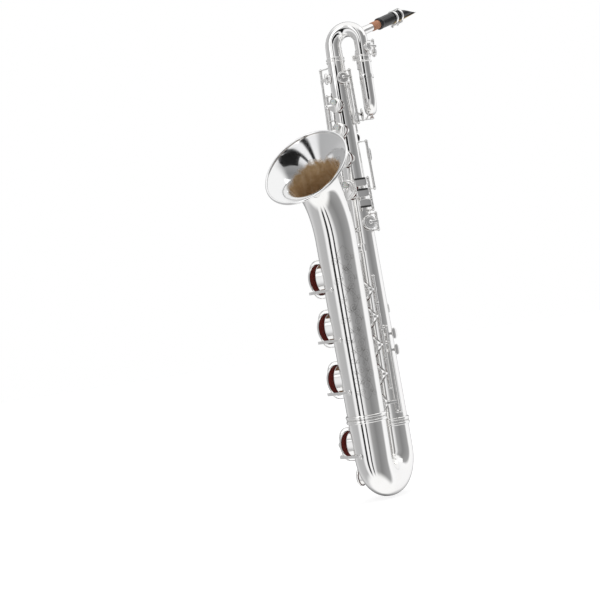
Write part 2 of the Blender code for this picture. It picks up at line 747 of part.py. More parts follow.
def build_brace():
    """The strut between body tube and bell, with a saddle at each end."""
    z = BRACE_Z
    front = BODY.point(0, z, -0.004)
    back = BELL.point(180, z, -0.004)
    strut = bar([front, back], 0.012, 0.006, (1, 0, 0))
    add = [bar([BODY.point(0, z, -0.006), BODY.point(0, z, 0.0025)], 0.034, 0.020, (1, 0, 0)),
           bar([BELL.point(180, z, -0.006), BELL.point(180, z, 0.0025)], 0.040, 0.020, (1, 0, 0)),
           ball(BODY.point(0, z, 0.024), 0.0085, 12)]
    cut = [tube_cutter(BODY, z - 0.03, z + 0.03, 2 * GAP),
           tube_cutter(BELL, z - 0.03, BELL.length, 2 * GAP)]
    part("bell_brace", "silver_plate", strut, add, cut)


def build_loop():
    arch = arch_line()
    across = Vector((LOOP_X, LOOP_Y, 0)).normalized()
    side = Vector((-across.y, across.x, 0))
    upper = hollow(arch, lambda d: BODY_R_TOP + (LOOP_R_START - BODY_R_TOP) * d / arch.length,
                   LOOP_SIDES, side)
    leg = arch_leg()
    rims, bores = chimneys(leg, [(*HIGH_F_PLACE, HIGH_F_R)])
    rims += posts(leg, HIGH_F_HINGE, HIGH_F_POSTS, HIGH_F_OUT)
    part("upper_bow", "silver_plate", upper, rims, bores)
    line = loop_line()
    tube = hollow(line, lambda d: LOOP_R_START + (LOOP_R_END - LOOP_R_START) * d / line.length, LOOP_SIDES,
                  loop_side())
    part("loop_tube", "silver_plate", tube, water_posts())


def arch_leg():
    return leg_cone(LOOP_X, LOOP_Y, LOOP_TOP_Z, ARCH_Z, LOOP_R_START, LOOP_R_START + 0.001)


def water_frame():
    """At the lowest point of the small bend: across, along the bend's plane, and down."""
    low = Vector(((LOOP_X + RETURN_X) / 2, (LOOP_Y + RETURN_Y) / 2, 0))
    across = Vector((RETURN_X - LOOP_X, RETURN_Y - LOOP_Y, 0))
    tube_r = (LOOP_R_START + LOOP_R_END) / 2
    low.z = LOOP_BEND_Z - across.length / 2 - tube_r
    down = Vector((0, 0, -1))
    frame = Matrix((across.cross(down).normalized(), across.normalized(), down)).transposed().to_4x4()
    frame.translation = low
    return frame


def water_posts():
    frame = water_frame()
    held = [rod(frame @ Vector((0, 0, -0.0008)), frame @ Vector((0, 0, 0.0035)), 0.0032)]
    for y in (-0.0065, 0.0065):
        foot, head = frame @ Vector((0.0062, y, -0.0038)), frame @ Vector((0.0125, y, 0.0052))
        tip = frame @ Vector((0.0125, y + (0.002 if y > 0 else -0.002), 0.0052))
        base = frame @ Vector((0.0125, y - (0.002 if y > 0 else -0.002), 0.0052))
        held += [rod(foot, head, 0.0014, 6), rod(base, tip, 0.0026)]
    return held


def build_water_key():
    frame = water_frame()
    pivot = frame @ Vector((0.0125, 0, 0.0052))
    axis = frame.col[1].to_3d()
    tube = rod(pivot - axis * 0.0041, pivot + axis * 0.0041, 0.0024)
    low = 0.0035 + GAP
    lever = bar([frame @ Vector(p) for p in ((0, 0, low + 0.0028), (0.0125, 0, 0.0056), (0.021, 0, 0.0075),
                                            (0.030, 0, 0.0060))], 0.005, 0.0018, axis)
    pad = lathe([(0, low), (0.0048, low), (0.0048, low + 0.0032), (0, low + 0.0036)], 14, frame)
    plate = lathe([(0, -0.0010), (0.0055, -0.0010), (0.0055, 0.0012), (0, 0.0012)], 12,
                  frame @ Matrix.Translation((0.0320, 0, 0.0058)))
    item = part("water_key", "key_silver", tube, [lever, pad, plate])
    hang(item, pivot, axis)


# ---- neck and mouthpiece ------------------------------------------------------------
def build_neck():
    line, _, aim = neck_line()
    side = Vector((aim.y, -aim.x, 0)).normalized()
    neck = hollow(line, lambda d: NECK_R_START + (NECK_R_END - NECK_R_START) * d / line.length,
                  LOOP_SIDES, side)
    collar = lathe_ring(ring_profile(NECK_R_START - 0.0010, 0.0134, 0, 0.004), LOOP_SIDES,
                        Matrix.Translation((RETURN_X, RETURN_Y, LOOP_TOP_Z + 0.0262)))
    item = part("neck", "silver_plate", neck, [collar])
    hang(item, Vector((RETURN_X, RETURN_Y, LOOP_TOP_Z)), Vector((0, 0, 1)))
    build_receiver()


def build_receiver():
    """The clamp ring that holds the neck, slit at the back, and its screw."""
    ring = ring_profile(RECEIVER_IN, RECEIVER_OUT, LOOP_TOP_Z - 0.014, LOOP_TOP_Z + 0.0255)
    lug_frame = Vector((RETURN_X, RETURN_Y, LOOP_TOP_Z + 0.016))
    outward = Vector((-1, 0, 0))
    receiver = lathe_ring(ring, 24, Matrix.Translation((RETURN_X, RETURN_Y, 0)))
    lugs = bar([lug_frame + outward * 0.013, lug_frame + outward * 0.0225], 0.0095, 0.012, (0, 1, 0))
    slit = bar([lug_frame + outward * 0.010, lug_frame + outward * 0.030], 0.0022, 0.030, (0, 1, 0))
    screw_hole = rod(lug_frame + Vector((CLAMP_SCREW_X, -0.02, 0)),
                     lug_frame + Vector((CLAMP_SCREW_X, 0.02, 0)), 0.0021)
    part("neck_receiver", "silver_plate", receiver, [lugs], [slit, screw_hole])
    start = lug_frame + Vector((CLAMP_SCREW_X, -0.0075, 0))
    end = lug_frame + Vector((CLAMP_SCREW_X, 0.014, 0))
    screw = rod(start, end, 0.0017)
    head = bar([end - Vector((0, 0.0005, 0)), end + Vector((0, 0.009, 0))], 0.010, 0.0024, (0, 0, 1))
    part("neck_clamp_screw", "key_silver", screw, [head])


def along_mouthpiece(distance):
    """Frame on the mouthpiece's axis, distance from its open end; Z runs towards the tip."""
    line, _, aim = neck_line()
    origin = line.points[-1] - aim * NECK_INSERT + aim * distance
    side = Vector((aim.y, -aim.x, 0)).normalized()
    up = aim.cross(side).normalized()
    if up.z < 0:
        side, up = -side, -up
    frame = Matrix((side, up, aim)).transposed().to_4x4()
    frame.translation = origin
    return frame


def loft(frame, sections):
    """Bridge equal outlines; each section is (distance, list of (x, y))."""
    work = bmesh.new()
    loops = [[work.verts.new(frame @ Vector((x, y, d))) for x, y in outline] for d, outline in sections]
    for low, high in zip(loops, loops[1:]):
        for i in range(len(low)):
            j = (i + 1) % len(low)
            work.faces.new((low[i], low[j], high[j], high[i]))
    work.faces.new(loops[0])
    work.faces.new(loops[-1])
    return to_object(work)


def mouthpiece_outline(radius, top, bottom, count=20):
    """A round section cut flat above at top and below at bottom."""
    outline = []
    for k in range(count):
        angle = 2 * math.pi * (k + 0.5) / count
        height = radius * math.sin(angle)
        limit = top if height > 0 else top - 0.0006
        outline.append((radius * math.cos(angle), max(min(height, limit), bottom)))
    return outline


def build_mouthpiece():
    frame = along_mouthpiece(0)
    pivot, aim = frame.translation, frame.col[2].to_3d()
    build_mouthpiece_body(frame, pivot, aim)
    build_reed(frame, pivot, aim)
    build_ligature(frame, pivot, aim)
    cork = lathe_ring(ring_profile(0.0093, 0.0104, -0.0216, 0.018), 20, frame)
    hang(part("neck_cork", "cork", cork), Vector((RETURN_X, RETURN_Y, LOOP_TOP_Z)), Vector((0, 0, 1)))


def build_mouthpiece_body(frame, pivot, aim):
    """Shank, table, beak, bore and the window under the reed."""
    full = MOUTHPIECE_LENGTH
    stations = ((0, MOUTH_R, 1, -1), (0.010, MOUTH_R + 0.0006, 1, -1), (0.0435, MOUTH_R, 1, -1),
                (0.0445, MOUTH_R, 1, TABLE_Y), (0.072, MOUTH_R - 0.0012, 1, TABLE_Y),
                (full - 0.006, 0.0118, -0.0075, TABLE_Y), (full, 0.0118, -0.0090, TABLE_Y))
    body = loft(frame, [(along, mouthpiece_outline(radius, top, bottom))
                        for along, radius, top, bottom in stations])
    bore = lathe([(0, -0.01), (0.0112, -0.01), (0.0110, 0.030), (0.0080, 0.036), (0.0080, 0.062),
                  (0, 0.062)], 20, frame)
    window = loft(frame, [(0.059, rectangle(0.0046, -0.02, -0.002)),
                          (full - 0.0045, rectangle(0.0062, -0.02, -0.0092))])
    hang(part("mouthpiece", "ebonite", body, [], [bore, window]), pivot, -aim)


def build_reed(frame, pivot, aim):
    top = TABLE_Y - GAP
    reed = loft(frame, [(REED_START, reed_outline(0.0070, top, 0.0028)),
                        (0.080, reed_outline(0.0076, top, 0.0026)),
                        (MOUTHPIECE_LENGTH - 0.001, reed_outline(0.0084, top, 0.0004))])
    hang(part("reed", "reed_cane", reed, smooth=False), pivot, -aim)


def build_ligature(frame, pivot, aim):
    """Two bands joined by two rails above, with two thumbscrews below."""
    bands = [lathe_ring(ring_profile(LIGATURE_IN, LIGATURE_OUT, middle - 0.003, middle + 0.003), 16, frame)
             for middle in LIGATURE_BANDS]
    more = []
    for x in (-0.0075, 0.0075):
        rail = [frame @ Vector((x, 0.0143, 0.052)), frame @ Vector((x, 0.0143, 0.072))]
        more.append(bar(rail, 0.004, 0.0012, frame.col[0].to_3d()))
    for along in LIGATURE_BANDS:
        for start, end, radius, sides in ((-0.002, 0.013, 0.0019, 6), (0.011, 0.016, 0.0042, 8)):
            more.append(rod(frame @ Vector((start, -BARREL_SCREW_DROP, along)),
                            frame @ Vector((end, -BARREL_SCREW_DROP, along)), radius, sides))
    hang(part("ligature", "key_silver", bands[0], bands[1:] + more), pivot, -aim)


def reed_outline(half_width, top, thickness):
    """The flat side of the reed against the table, and its rounded back."""
    return [(-half_width, top), (-half_width, top - thickness * 0.35), (-half_width * 0.6, top - thickness),
            (half_width * 0.6, top - thickness), (half_width, top - thickness * 0.35), (half_width, top)]


def rectangle(half_width, low, high):
    return [(-half_width, low), (half_width, low), (half_width, high), (-half_width, high)]


# ---- the key groups -----------------------------------------------------------------
def spans(places):
    """Hinge tubes between neighbouring posts."""
    return [(low + SEAT, high - SEAT) for low, high in zip(places, places[1:])]


def build_stack(name, keys, phi, hinge, out, places):
    rib(name + "_rib", BODY, hinge, places, out, True)
    hinge_rod(name + "_rod", BODY, hinge, places, out)
    for (key_name, along, radius), span in zip(keys, spans(places)):
        key = Key(key_name, BODY, hinge, out, span, True).cup(BODY, phi, along, radius)
        if key_name != "fsharp_key":
            key.pearl(0.0, radius * 0.45)
        key.finish(STACK_OPEN)


def build_bell_keys():
    ends = [value for span in BELL_SPANS for value in (span[0] - SEAT, span[1] + SEAT)]
    rib("bell_key_rib", BELL, BELL_HINGE, ends, BELL_OUT)
    for (name, along, radius), span in zip(BELL_KEYS, BELL_SPANS):
        stem = along if span[0] < along < span[1] else span[0] + 0.008
        key = Key(name, BELL, BELL_HINGE, BELL_OUT, span)
        key.cup(BELL, BELL_PHI, along, radius, True, stem).finish(BELL_OPEN)
        build_guard("guard_" + name.replace("_key", ""), along, radius)


def build_guard(name, along, radius):
    """A three-footed guard over a bell key cup, with the seat of its felt in the middle."""
    frame = BELL.place(BELL_PHI, along)
    tube = BELL.radius(along)
    reach = radius + 0.0065
    lifted = CHIMNEY + CUP_T + (radius + BELL_OUT) * math.sin(math.radians(BELL_OPEN))
    crest = lifted + GUARD_CLEAR
    foot = GAP + 0.0012
    shoulder, shoulder_height = reach * 0.66, crest * 0.93
    arch = [(0, -reach, foot), (0, -reach * 0.97, crest * 0.60), (0, -shoulder, shoulder_height),
            (0, 0, crest + 0.001), (0, shoulder, shoulder_height), (0, reach * 0.97, crest * 0.60),
            (0, reach, foot)]
    guard = bar([frame @ Vector(p) for p in arch], GUARD_W, GUARD_T, frame.col[0].to_3d())
    angle = math.radians(GUARD_FOOT_TURN)
    stand = tube + GAP + 0.001
    ends = (math.sin(angle) * stand, math.cos(angle) * stand - tube)
    half = math.sqrt(radius ** 2 - shoulder ** 2)       # half of the cup's width at the shoulder
    side = [(0, shoulder_height), (half * 0.6, shoulder_height), (half * 1.2, crest * 0.84),
            (half * 1.6, crest * 0.45), ends]
    branch = [(x, -shoulder, z) for x, z in side]
    pieces = [bar([frame @ Vector(p) for p in branch], GUARD_W, GUARD_T, frame.col[1].to_3d())]
    pieces.append(disc(frame, 0.0060, crest - GUARD_SEAT, crest + 0.0036, 10))
    for shift in (-reach, reach):
        place = frame @ Matrix.Translation((0, shift, 0))
        pieces.append(disc(place, 0.0052, GAP + 0.0002, GAP + 0.0022, 8))
    part(name, "key_silver", guard, pieces, [tube_cutter(BELL, 0.02, BELL.length, GAP)])


def build_left_side_keys():
    """Each touch is given as (phi, along, height above the tube, half width, half length)."""
    gsharp = Key("gsharp_key", BODY, GSHARP_HINGE, TABLE_OUT, spans(GSHARP_POSTS)[0])
    gsharp.cup(BODY, *GSHARP_PLACE, GSHARP_R).finish()
    table = ("low_bb_touch", "low_b_touch", "gsharp_touch")
    for name, span, phi in zip(table, spans(TABLE_POSTS), (44, 42, 40)):
        touch = Key(name, BODY, TABLE_HINGE, TABLE_OUT, span)
        touch.touch(phi, sum(span) / 2, 0.029, 0.015, 0.0095, 0.003).finish()
    thumb = Key("low_a_thumb_lever", BODY, THUMB_A_HINGE, THUMB_A_OUT, spans(THUMB_A_POSTS)[0])
    thumb.touch(146, 0.772, 0.026, 0.0085, 0.018).finish()
    low_eb = Key("low_eb_key", BODY, PINKY_HINGE, PINKY_OUT, spans(PINKY_POSTS)[0])
    low_eb.cup(BODY, *EB_PLACE, EB_R).touch(72, 0.320, 0.018, 0.0075, 0.013).finish()
    low_c = Key("low_c_touch", BODY, PINKY_HINGE, PINKY_OUT, spans(PINKY_POSTS)[1])
    low_c.touch(72, 0.3565, 0.018, 0.0075, 0.013).finish()


def build_right_side_keys():
    rib("side_key_rib", BODY, SIDE_HINGE, SIDE_BB_POSTS, SIDE_BB_OUT)
    side_bb = Key("side_bb_key", BODY, SIDE_HINGE, SIDE_BB_OUT, spans(SIDE_BB_POSTS)[0])
    side_bb.cup(BODY, *SIDE_BB_PLACE, SIDE_BB_R).touch(-70, 0.545, 0.020, 0.0075, 0.019).finish()


def build_high_e():
    high_e = Key("high_e_key", BODY, SIDE_HINGE, HIGH_E_OUT, spans(HIGH_E_POSTS)[0])
    high_e.cup(BODY, *HIGH_E_PLACE, HIGH_E_R).touch(-122, 0.590, 0.024, 0.0075, 0.019).finish()


def build_palm_keys():
    palm_d = Key("palm_d_key", BODY, PALM_HINGE, PALM_OUT, spans(PALM_POSTS)[0])
    palm_d.cup(BODY, *PALM_D_PLACE, PALM_D_R).touch(126, 0.862, 0.020, 0.0085, 0.015).finish()
    high_f = Key("high_f_key", arch_leg(), HIGH_F_HINGE, HIGH_F_OUT, spans(HIGH_F_POSTS)[0])
    high_f.cup(arch_leg(), *HIGH_F_PLACE, HIGH_F_R)
    high_f.touch(158, 0.014, 0.020, 0.0075, 0.011).finish()


def build_octave():
    low_span, high_span = spans(OCTAVE_POSTS)
    lever = Key("octave_thumb_lever", BODY, OCTAVE_HINGE, OCTAVE_OUT, low_span)
    lever.touch(-178, 0.841, 0.020, 0.0085, 0.0075).finish()
    vent = Key("octave_key", BODY, OCTAVE_HINGE, OCTAVE_OUT, high_span)
    vent.cup(BODY, OCTAVE_PHI, OCTAVE_Z, VENT_R).finish()


def build_low_csharp():
    key = Key("low_csharp_key", csharp_cone(), CSHARP_HINGE, CSHARP_OUT, spans(CSHARP_POSTS)[0])
    key.cup(csharp_cone(), -90, 0, CSHARP_R).finish()


# ---- fixed fittings -----------------------------------------------------------------
def build_fittings():
    frame = BODY.place(180, 0.430)
    plate = bar([frame @ Vector((0, -0.019, GAP + 0.0016)), frame @ Vector((0, 0.019, GAP + 0.0016))], 0.013,
                0.0026, frame.col[0].to_3d())
    hook = [(0, 0.004, 0.001), (0, 0.004, 0.016), (0, -0.001, 0.026), (0, -0.011, 0.031), (0, -0.024, 0.030)]
    hook_bar = bar([frame @ Vector(p) for p in hook], 0.015, 0.0032, frame.col[0].to_3d())
    part("thumb_hook", "key_silver", plate, [hook_bar], [tube_cutter(BODY, 0.38, 0.48, GAP)])

    frame = BODY.place(152, 0.812)
    rest = lathe([(0, -0.003), (0.0098, -0.003), (0.0098, 0.0042), (0.0080, 0.0058), (0, 0.0064)], 18, frame)
    part("thumb_rest", "ebonite", rest, [], [tube_cutter(BODY, 0.77, 0.85, GAP)])

    frame = BODY.place(180, 0.615)
    base = bar([frame @ Vector((0, -0.016, 0.0012)), frame @ Vector((0, 0.016, 0.0012))], 0.014, 0.0044,
               frame.col[0].to_3d())
    turn = frame @ Matrix.Translation((0, 0, STRAP_RING_OUT)) @ Matrix.Rotation(math.pi / 2, 4, "Y")
    loop = lathe_ring(ring_profile(STRAP_RING_R - 0.002, STRAP_RING_R + 0.002, -0.0018, 0.0018), 20, turn)
    foot = rod(frame @ Vector((0, 0, 0.0020)), frame @ Vector((0, 0, STRAP_RING_OUT - STRAP_RING_R)), 0.0016)
    part("strap_ring", "key_silver", base, [loop, foot], [tube_cutter(BODY, 0.58, 0.65, GAP)])

    frame = BODY.place(0, 0.598)
    block = bar([frame @ Vector((0, 0.0, -0.003)), frame @ Vector((0, 0.0, 0.016))], 0.010, 0.010,
                frame.col[0].to_3d())
    socket = bar([frame @ Vector((0, -0.002, 0.011)), frame @ Vector((0, 0.020, 0.011))], 0.0056, 0.0026,
                 frame.col[0].to_3d())
    part("lyre_socket", "key_silver", block, [], [socket, tube_cutter(BODY, 0.55, 0.65, GAP)])


def move_to_floor():
    """Put the origin at the middle of the bottom of the box around all the parts."""
    bpy.context.view_layer.update()
    corners = [item.matrix_world @ vertex.co for item in made for vertex in item.data.vertices]
    low = [min(c[axis] for c in corners) for axis in range(3)]
    high = [max(c[axis] for c in corners) for axis in range(3)]
    shift = Vector((-(low[0] + high[0]) / 2, -(low[1] + high[1]) / 2, -low[2]))
    for item in made:
        item.matrix_world = Matrix.Translation(shift) @ item.matrix_world


def build_all():
    clear_scene()
    build_body()
    build_bow()
    build_bell()
    build_rings()
    build_brace()
    build_loop()
    build_neck()
    build_mouthpiece()
    build_stack("lower_stack", LOWER_KEYS, LOWER_PHI, LOWER_HINGE, LOWER_OUT, LOWER_POSTS)
    build_stack("upper_stack", UPPER_KEYS, UPPER_PHI, UPPER_HINGE, UPPER_OUT, UPPER_POSTS)
    build_bell_keys()
    build_left_side_keys()
    build_right_side_keys()
    build_high_e()
    build_palm_keys()
    build_octave()
    build_low_csharp()
    build_water_key()
    build_fittings()
    move_to_floor()


build_all()
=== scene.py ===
"""Looks of the low-A baritone saxophone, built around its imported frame."""
import json
import math

import bmesh
import bpy
from mathutils import Matrix, Vector


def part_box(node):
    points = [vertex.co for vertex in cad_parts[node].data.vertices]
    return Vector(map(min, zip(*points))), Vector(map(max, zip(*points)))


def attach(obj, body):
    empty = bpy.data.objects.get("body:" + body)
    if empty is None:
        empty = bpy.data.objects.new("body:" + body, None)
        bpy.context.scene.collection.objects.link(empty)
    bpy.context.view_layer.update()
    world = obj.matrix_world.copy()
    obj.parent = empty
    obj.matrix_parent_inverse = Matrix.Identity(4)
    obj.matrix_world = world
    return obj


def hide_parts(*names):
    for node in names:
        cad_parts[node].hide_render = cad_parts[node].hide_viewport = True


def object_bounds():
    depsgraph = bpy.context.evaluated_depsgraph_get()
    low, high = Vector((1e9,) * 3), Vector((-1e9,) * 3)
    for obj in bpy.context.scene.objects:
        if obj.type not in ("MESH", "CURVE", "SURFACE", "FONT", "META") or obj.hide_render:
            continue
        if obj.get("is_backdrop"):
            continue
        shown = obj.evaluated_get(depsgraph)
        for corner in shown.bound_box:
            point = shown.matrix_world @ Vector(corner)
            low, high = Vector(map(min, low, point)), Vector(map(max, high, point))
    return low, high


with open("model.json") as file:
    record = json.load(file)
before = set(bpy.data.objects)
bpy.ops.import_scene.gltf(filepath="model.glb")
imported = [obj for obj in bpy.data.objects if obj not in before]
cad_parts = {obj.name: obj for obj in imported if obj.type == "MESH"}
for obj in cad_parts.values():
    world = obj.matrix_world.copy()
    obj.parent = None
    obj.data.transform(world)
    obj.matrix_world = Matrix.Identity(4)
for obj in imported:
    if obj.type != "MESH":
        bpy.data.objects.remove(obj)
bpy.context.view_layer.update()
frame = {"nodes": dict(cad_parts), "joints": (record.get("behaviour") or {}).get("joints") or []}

# ---- dimensions shared with the frame, in metres ------------------------------------
GAP = 0.0003                    # running gap between neighbouring pieces
WALL = 0.001                    # wall of the tubes
BODY_RING_Z, BELL_RING_Z, BODY_TOP_Z = 0.160, 0.184, 1.000
BODY_R_LOW, BODY_R_TOP = 0.0363, 0.0190
BELL_Y, BELL_R_LOW, BELL_R_STRAIGHT, BELL_STRAIGHT = -0.118, 0.0415, 0.0450, 0.390
BELL_TILT, BELL_BEND_R, BELL_RIM_TILT = 1.75, 0.205, 54.0
BELL_RIM_R, FLARE_POWER, RIM_BEAD = 0.1005, 7.0, 0.0026
BOW_CENTRE_Z = 0.0990
LOOP_X, LOOP_Y, RETURN_X, RETURN_Y = 0.068, 0.007, 0.043, 0.050
ARCH_Z, LOOP_TOP_Z, LOOP_BEND_Z = 1.024, 0.985, 0.8935
LOOP_R_START, LOOP_R_END = 0.0148, 0.0115
NECK_TURN, NECK_RISE, NECK_BEND_R, NECK_Z, NECK_STRAIGHT = 25.0, 20.0, 0.030, 1.034, 0.071
NECK_R_START, NECK_R_END = 0.0114, 0.0078
MOUTHPIECE_LENGTH, MOUTH_R, TABLE_Y = 0.119, 0.0135, -0.0108
CHIMNEY = 0.0045                # height of a tone hole's rim above the tube
CUP_T = 0.0058                  # height of a key cup with its pad
CUP_OVER = 0.0030               # how far a cup's radius exceeds its tone hole's
HINGE_R, HEAD_R, HEAD_T = 0.0031, 0.0043, 0.0056
BELL_OUT, GUARD_CLEAR, GUARD_FOOT_TURN = 0.012, 0.0145, 78
STRAP_RING_R, STRAP_RING_OUT = 0.0082, 0.0150
LOOP_BRACE_Z = 0.940
THROAT_LENGTH = 0.22            # how far down the bell its colour keeps changing, from silver through gold into painted shade
SEAT = HEAD_T / 2 + GAP         # from the end of a hinge tube to the middle of its post

# ---- fineness of the visible surface ------------------------------------------------
TUBE_SEGMENTS, BELL_SEGMENTS, LOOP_SEGMENTS = 96, 128, 72
BEND_STEPS = 40
STRAIGHT_STEP = 0.010
CUP_SEGMENTS, MOUTH_SEGMENTS = 56, 64
ROUND_SEGMENTS = 24
DISC_SEGMENTS, SCREW_SEGMENTS, PLATE_SEGMENTS = 28, 20, 40

STACK_KEYS = {"lower": ("d_key", "e_key", "f_key", "fsharp_key"),
              "upper": ("g_key", "a_key", "b_key", "c_key")}
BELL_KEYS = ("low_c_key", "low_b_key", "low_bb_key", "low_a_key")
CLOSED_KEYS = ("low_csharp_key", "low_eb_key", "gsharp_key", "side_bb_key", "high_e_key", "palm_d_key",
               "high_f_key", "octave_key")
OPEN_KEYS = STACK_KEYS["lower"] + STACK_KEYS["upper"] + BELL_KEYS
TOUCHES = ("low_bb_touch", "low_b_touch", "gsharp_touch", "low_c_touch", "low_a_thumb_lever",
           "octave_thumb_lever")
WITH_TOUCH = TOUCHES + ("low_eb_key", "side_bb_key", "high_e_key", "palm_d_key", "high_f_key")
HORN = "horn"
X, Z = Vector((1, 0, 0)), Vector((0, 0, 1))


def mm(*points):
    """Points given in millimetres, in metres."""
    return [tuple(round(value / 1000, 7) for value in point) for point in points]


def circle(count, begin=0.0):
    """Angles that share a full turn evenly."""
    return [2 * math.pi * (k + begin) / count for k in range(count)]


def middle(node):
    low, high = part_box(node)
    return (low + high) / 2


RING = middle("body_bow_ring")
HOME = Vector((RING.x, RING.y, RING.z - BODY_RING_Z))   # foot of the body tube's axis


def at(x, y, z):
    return HOME + Vector((x, y, z))


# ---- centre lines -------------------------------------------------------------------
class Line:
    """A centre line made of points; distances are measured along it."""

    def __init__(self, points):
        self.points = []
        for begin, finish in zip(points, points[1:]):
            begin, finish = Vector(begin), Vector(finish)
            pieces = max(1, round((finish - begin).length / STRAIGHT_STEP))
            self.points += [begin.lerp(finish, k / pieces) for k in range(pieces)]
        self.points.append(Vector(points[-1]))
        self.stations = [0.0]
        for begin, finish in zip(self.points, self.points[1:]):
            self.stations.append(self.stations[-1] + (finish - begin).length)
        self.length = self.stations[-1]

    def direction(self, index):
        before = self.points[max(index - 1, 0)]
        after = self.points[min(index + 1, len(self.points) - 1)]
        return (after - before).normalized()

    def nearest(self, point):
        """(gap, foot, distance along) of the place on the line nearest to a point."""
        best = None
        for index, (begin, finish) in enumerate(zip(self.points, self.points[1:])):
            step = finish - begin
            share = min(1.0, max(0.0, (point - begin).dot(step) / step.length_squared))
            foot = begin + step * share
            gap = (point - foot).length
            if best is None or gap < best[0]:
                best = (gap, foot, self.stations[index] + step.length * share)
        return best


def arc(centre, first, second, radius, begin, finish, steps=BEND_STEPS):
    """Points on an arc in the plane of two unit vectors, from begin to finish degrees."""
    points = []
    for k in range(steps + 1):
        angle = math.radians(begin + (finish - begin) * k / steps)
        points.append(centre + first * radius * math.cos(angle) + second * radius * math.sin(angle))
    return points


def level(x, y, z=0.0):
    return Vector((x, y, z))


LEAN = math.radians(BELL_TILT)
BELL_AXIS = Vector((0, -math.sin(LEAN), math.cos(LEAN)))
BELL_FOOT = at(0, BELL_Y, BELL_RING_Z) - BELL_AXIS * BELL_RING_Z
BOW_HALF = -(BELL_FOOT + BELL_AXIS * BOW_CENTRE_Z - HOME).y / 2


def bow_line():
    bend = arc(at(0, -BOW_HALF, BOW_CENTRE_Z), level(0, 1), level(0, 0, -1), BOW_HALF, 0, 180)
    return Line([at(0, 0, BODY_RING_Z)] + bend + [BELL_FOOT + BELL_AXIS * BELL_RING_Z])


def bell_line():
    begin = BELL_FOOT + BELL_AXIS * BELL_RING_Z
    bend_start = begin + BELL_AXIS * BELL_STRAIGHT
    back = level(0, -BELL_AXIS.z, BELL_AXIS.y)
    bend = arc(bend_start + back * BELL_BEND_R, -back, BELL_AXIS, BELL_BEND_R, 0,
               BELL_RIM_TILT - BELL_TILT, 64)
    return Line([begin] + bend)


def arch_line():
    across = level(LOOP_X, LOOP_Y)
    bend = arc(HOME + across / 2 + level(0, 0, ARCH_Z), -across.normalized(), Z,
               across.length / 2, 0, 180)
    return Line([at(0, 0, BODY_TOP_Z)] + bend + [at(LOOP_X, LOOP_Y, LOOP_TOP_Z)])


def loop_line():
    begin, finish = at(LOOP_X, LOOP_Y, 0), at(RETURN_X, RETURN_Y, 0)
    across = finish - begin
    bend = arc((begin + finish) / 2 + level(0, 0, LOOP_BEND_Z), -across.normalized(), level(0, 0, -1),
               across.length / 2, 0, 180)
    up = level(0, 0, LOOP_TOP_Z)
    return Line([begin + up] + bend + [finish + up])


def neck_line():
    turn, rise = math.radians(NECK_TURN), math.radians(NECK_RISE)
    outward = level(math.sin(turn), math.cos(turn))
    bend = arc(at(RETURN_X, RETURN_Y, NECK_Z) + outward * NECK_BEND_R, -outward, Z,
               NECK_BEND_R, 0, 90 - NECK_RISE)
    aim = outward * math.cos(rise) + level(0, 0, math.sin(rise))
    return Line([at(RETURN_X, RETURN_Y, LOOP_TOP_Z + 0.002)] + bend + [bend[-1] + aim * NECK_STRAIGHT]), aim


def taper(start, end, length):
    return lambda distance: start + (end - start) * distance / length


def bell_radius(distance):
    if distance <= BELL_STRAIGHT:
        return BELL_R_LOW + (BELL_R_STRAIGHT - BELL_R_LOW) * distance / BELL_STRAIGHT
    share = (distance - BELL_STRAIGHT) / (BELL_LINE.length - BELL_STRAIGHT)
    return BELL_R_STRAIGHT + (BELL_RIM_R - BELL_R_STRAIGHT) * share ** FLARE_POWER


BODY_LINE = Line([at(0, 0, BODY_RING_Z), at(0, 0, BODY_TOP_Z)])
BOW_LINE, BELL_LINE, ARCH_LINE, LOOP_LINE = bow_line(), bell_line(), arch_line(), loop_line()
NECK_LINE, NECK_AIM = neck_line()
TUBES = (
    (BODY_LINE, taper(BODY_R_LOW, BODY_R_TOP, BODY_LINE.length)),
    (BOW_LINE, taper(BODY_R_LOW, BELL_R_LOW, BOW_LINE.length)),
    (BELL_LINE, bell_radius),
    (ARCH_LINE, taper(BODY_R_TOP, LOOP_R_START, ARCH_LINE.length)),
    (LOOP_LINE, taper(LOOP_R_START, LOOP_R_END, LOOP_LINE.length)),
)


def ground(point):
    """The surface of the tube nearest to a point, and the direction from it to the point."""
    best = None
    for line, radius in TUBES:
        gap, foot, distance = line.nearest(point)
        clear = gap - radius(distance)
        if best is None or clear < best[0]:
            outward = (point - foot).normalized()
            best = (clear, foot + outward * radius(distance), outward)
    return best[1], best[2]


def frame_at(origin, z_axis, x_hint=(0, 0, 1)):
    """A right-handed frame with its Z along z_axis and its X near x_hint."""
    z_axis = Vector(z_axis).normalized()
    x_axis = Vector(x_hint) - z_axis * z_axis.dot(Vector(x_hint))
    if x_axis.length < 1e-4:
        x_axis = z_axis.orthogonal()
    x_axis.normalize()
    turned = Matrix((x_axis, z_axis.cross(x_axis), z_axis)).transposed().to_4x4()
    turned.translation = origin
    return turned


def on_tube(foot, axis, radius, phi, along, out=0.0):
    """A frame on a straight tube: X round it, Y up it, Z outwards; phi runs from -Y to +X."""
    front = (level(0, -1) + axis * axis.y).normalized()
    left = axis.cross(front)
    turn = math.radians(phi)
    radial = front * math.cos(turn) + left * math.sin(turn)
    point = foot + axis * along + radial * (radius + out)
    return frame_at(point, radial, axis.cross(radial))


def body_radius(z):
    return BODY_R_LOW + (BODY_R_TOP - BODY_R_LOW) * (z - BODY_RING_Z) / (BODY_TOP_Z - BODY_RING_Z)


def on_body(phi, z, out=0.0):
    return on_tube(HOME, Z, body_radius(z), phi, z, out)


def on_bell(phi, z, out=0.0):
    return on_tube(BELL_FOOT, BELL_AXIS, bell_radius(z - BELL_RING_Z), phi, z, out)


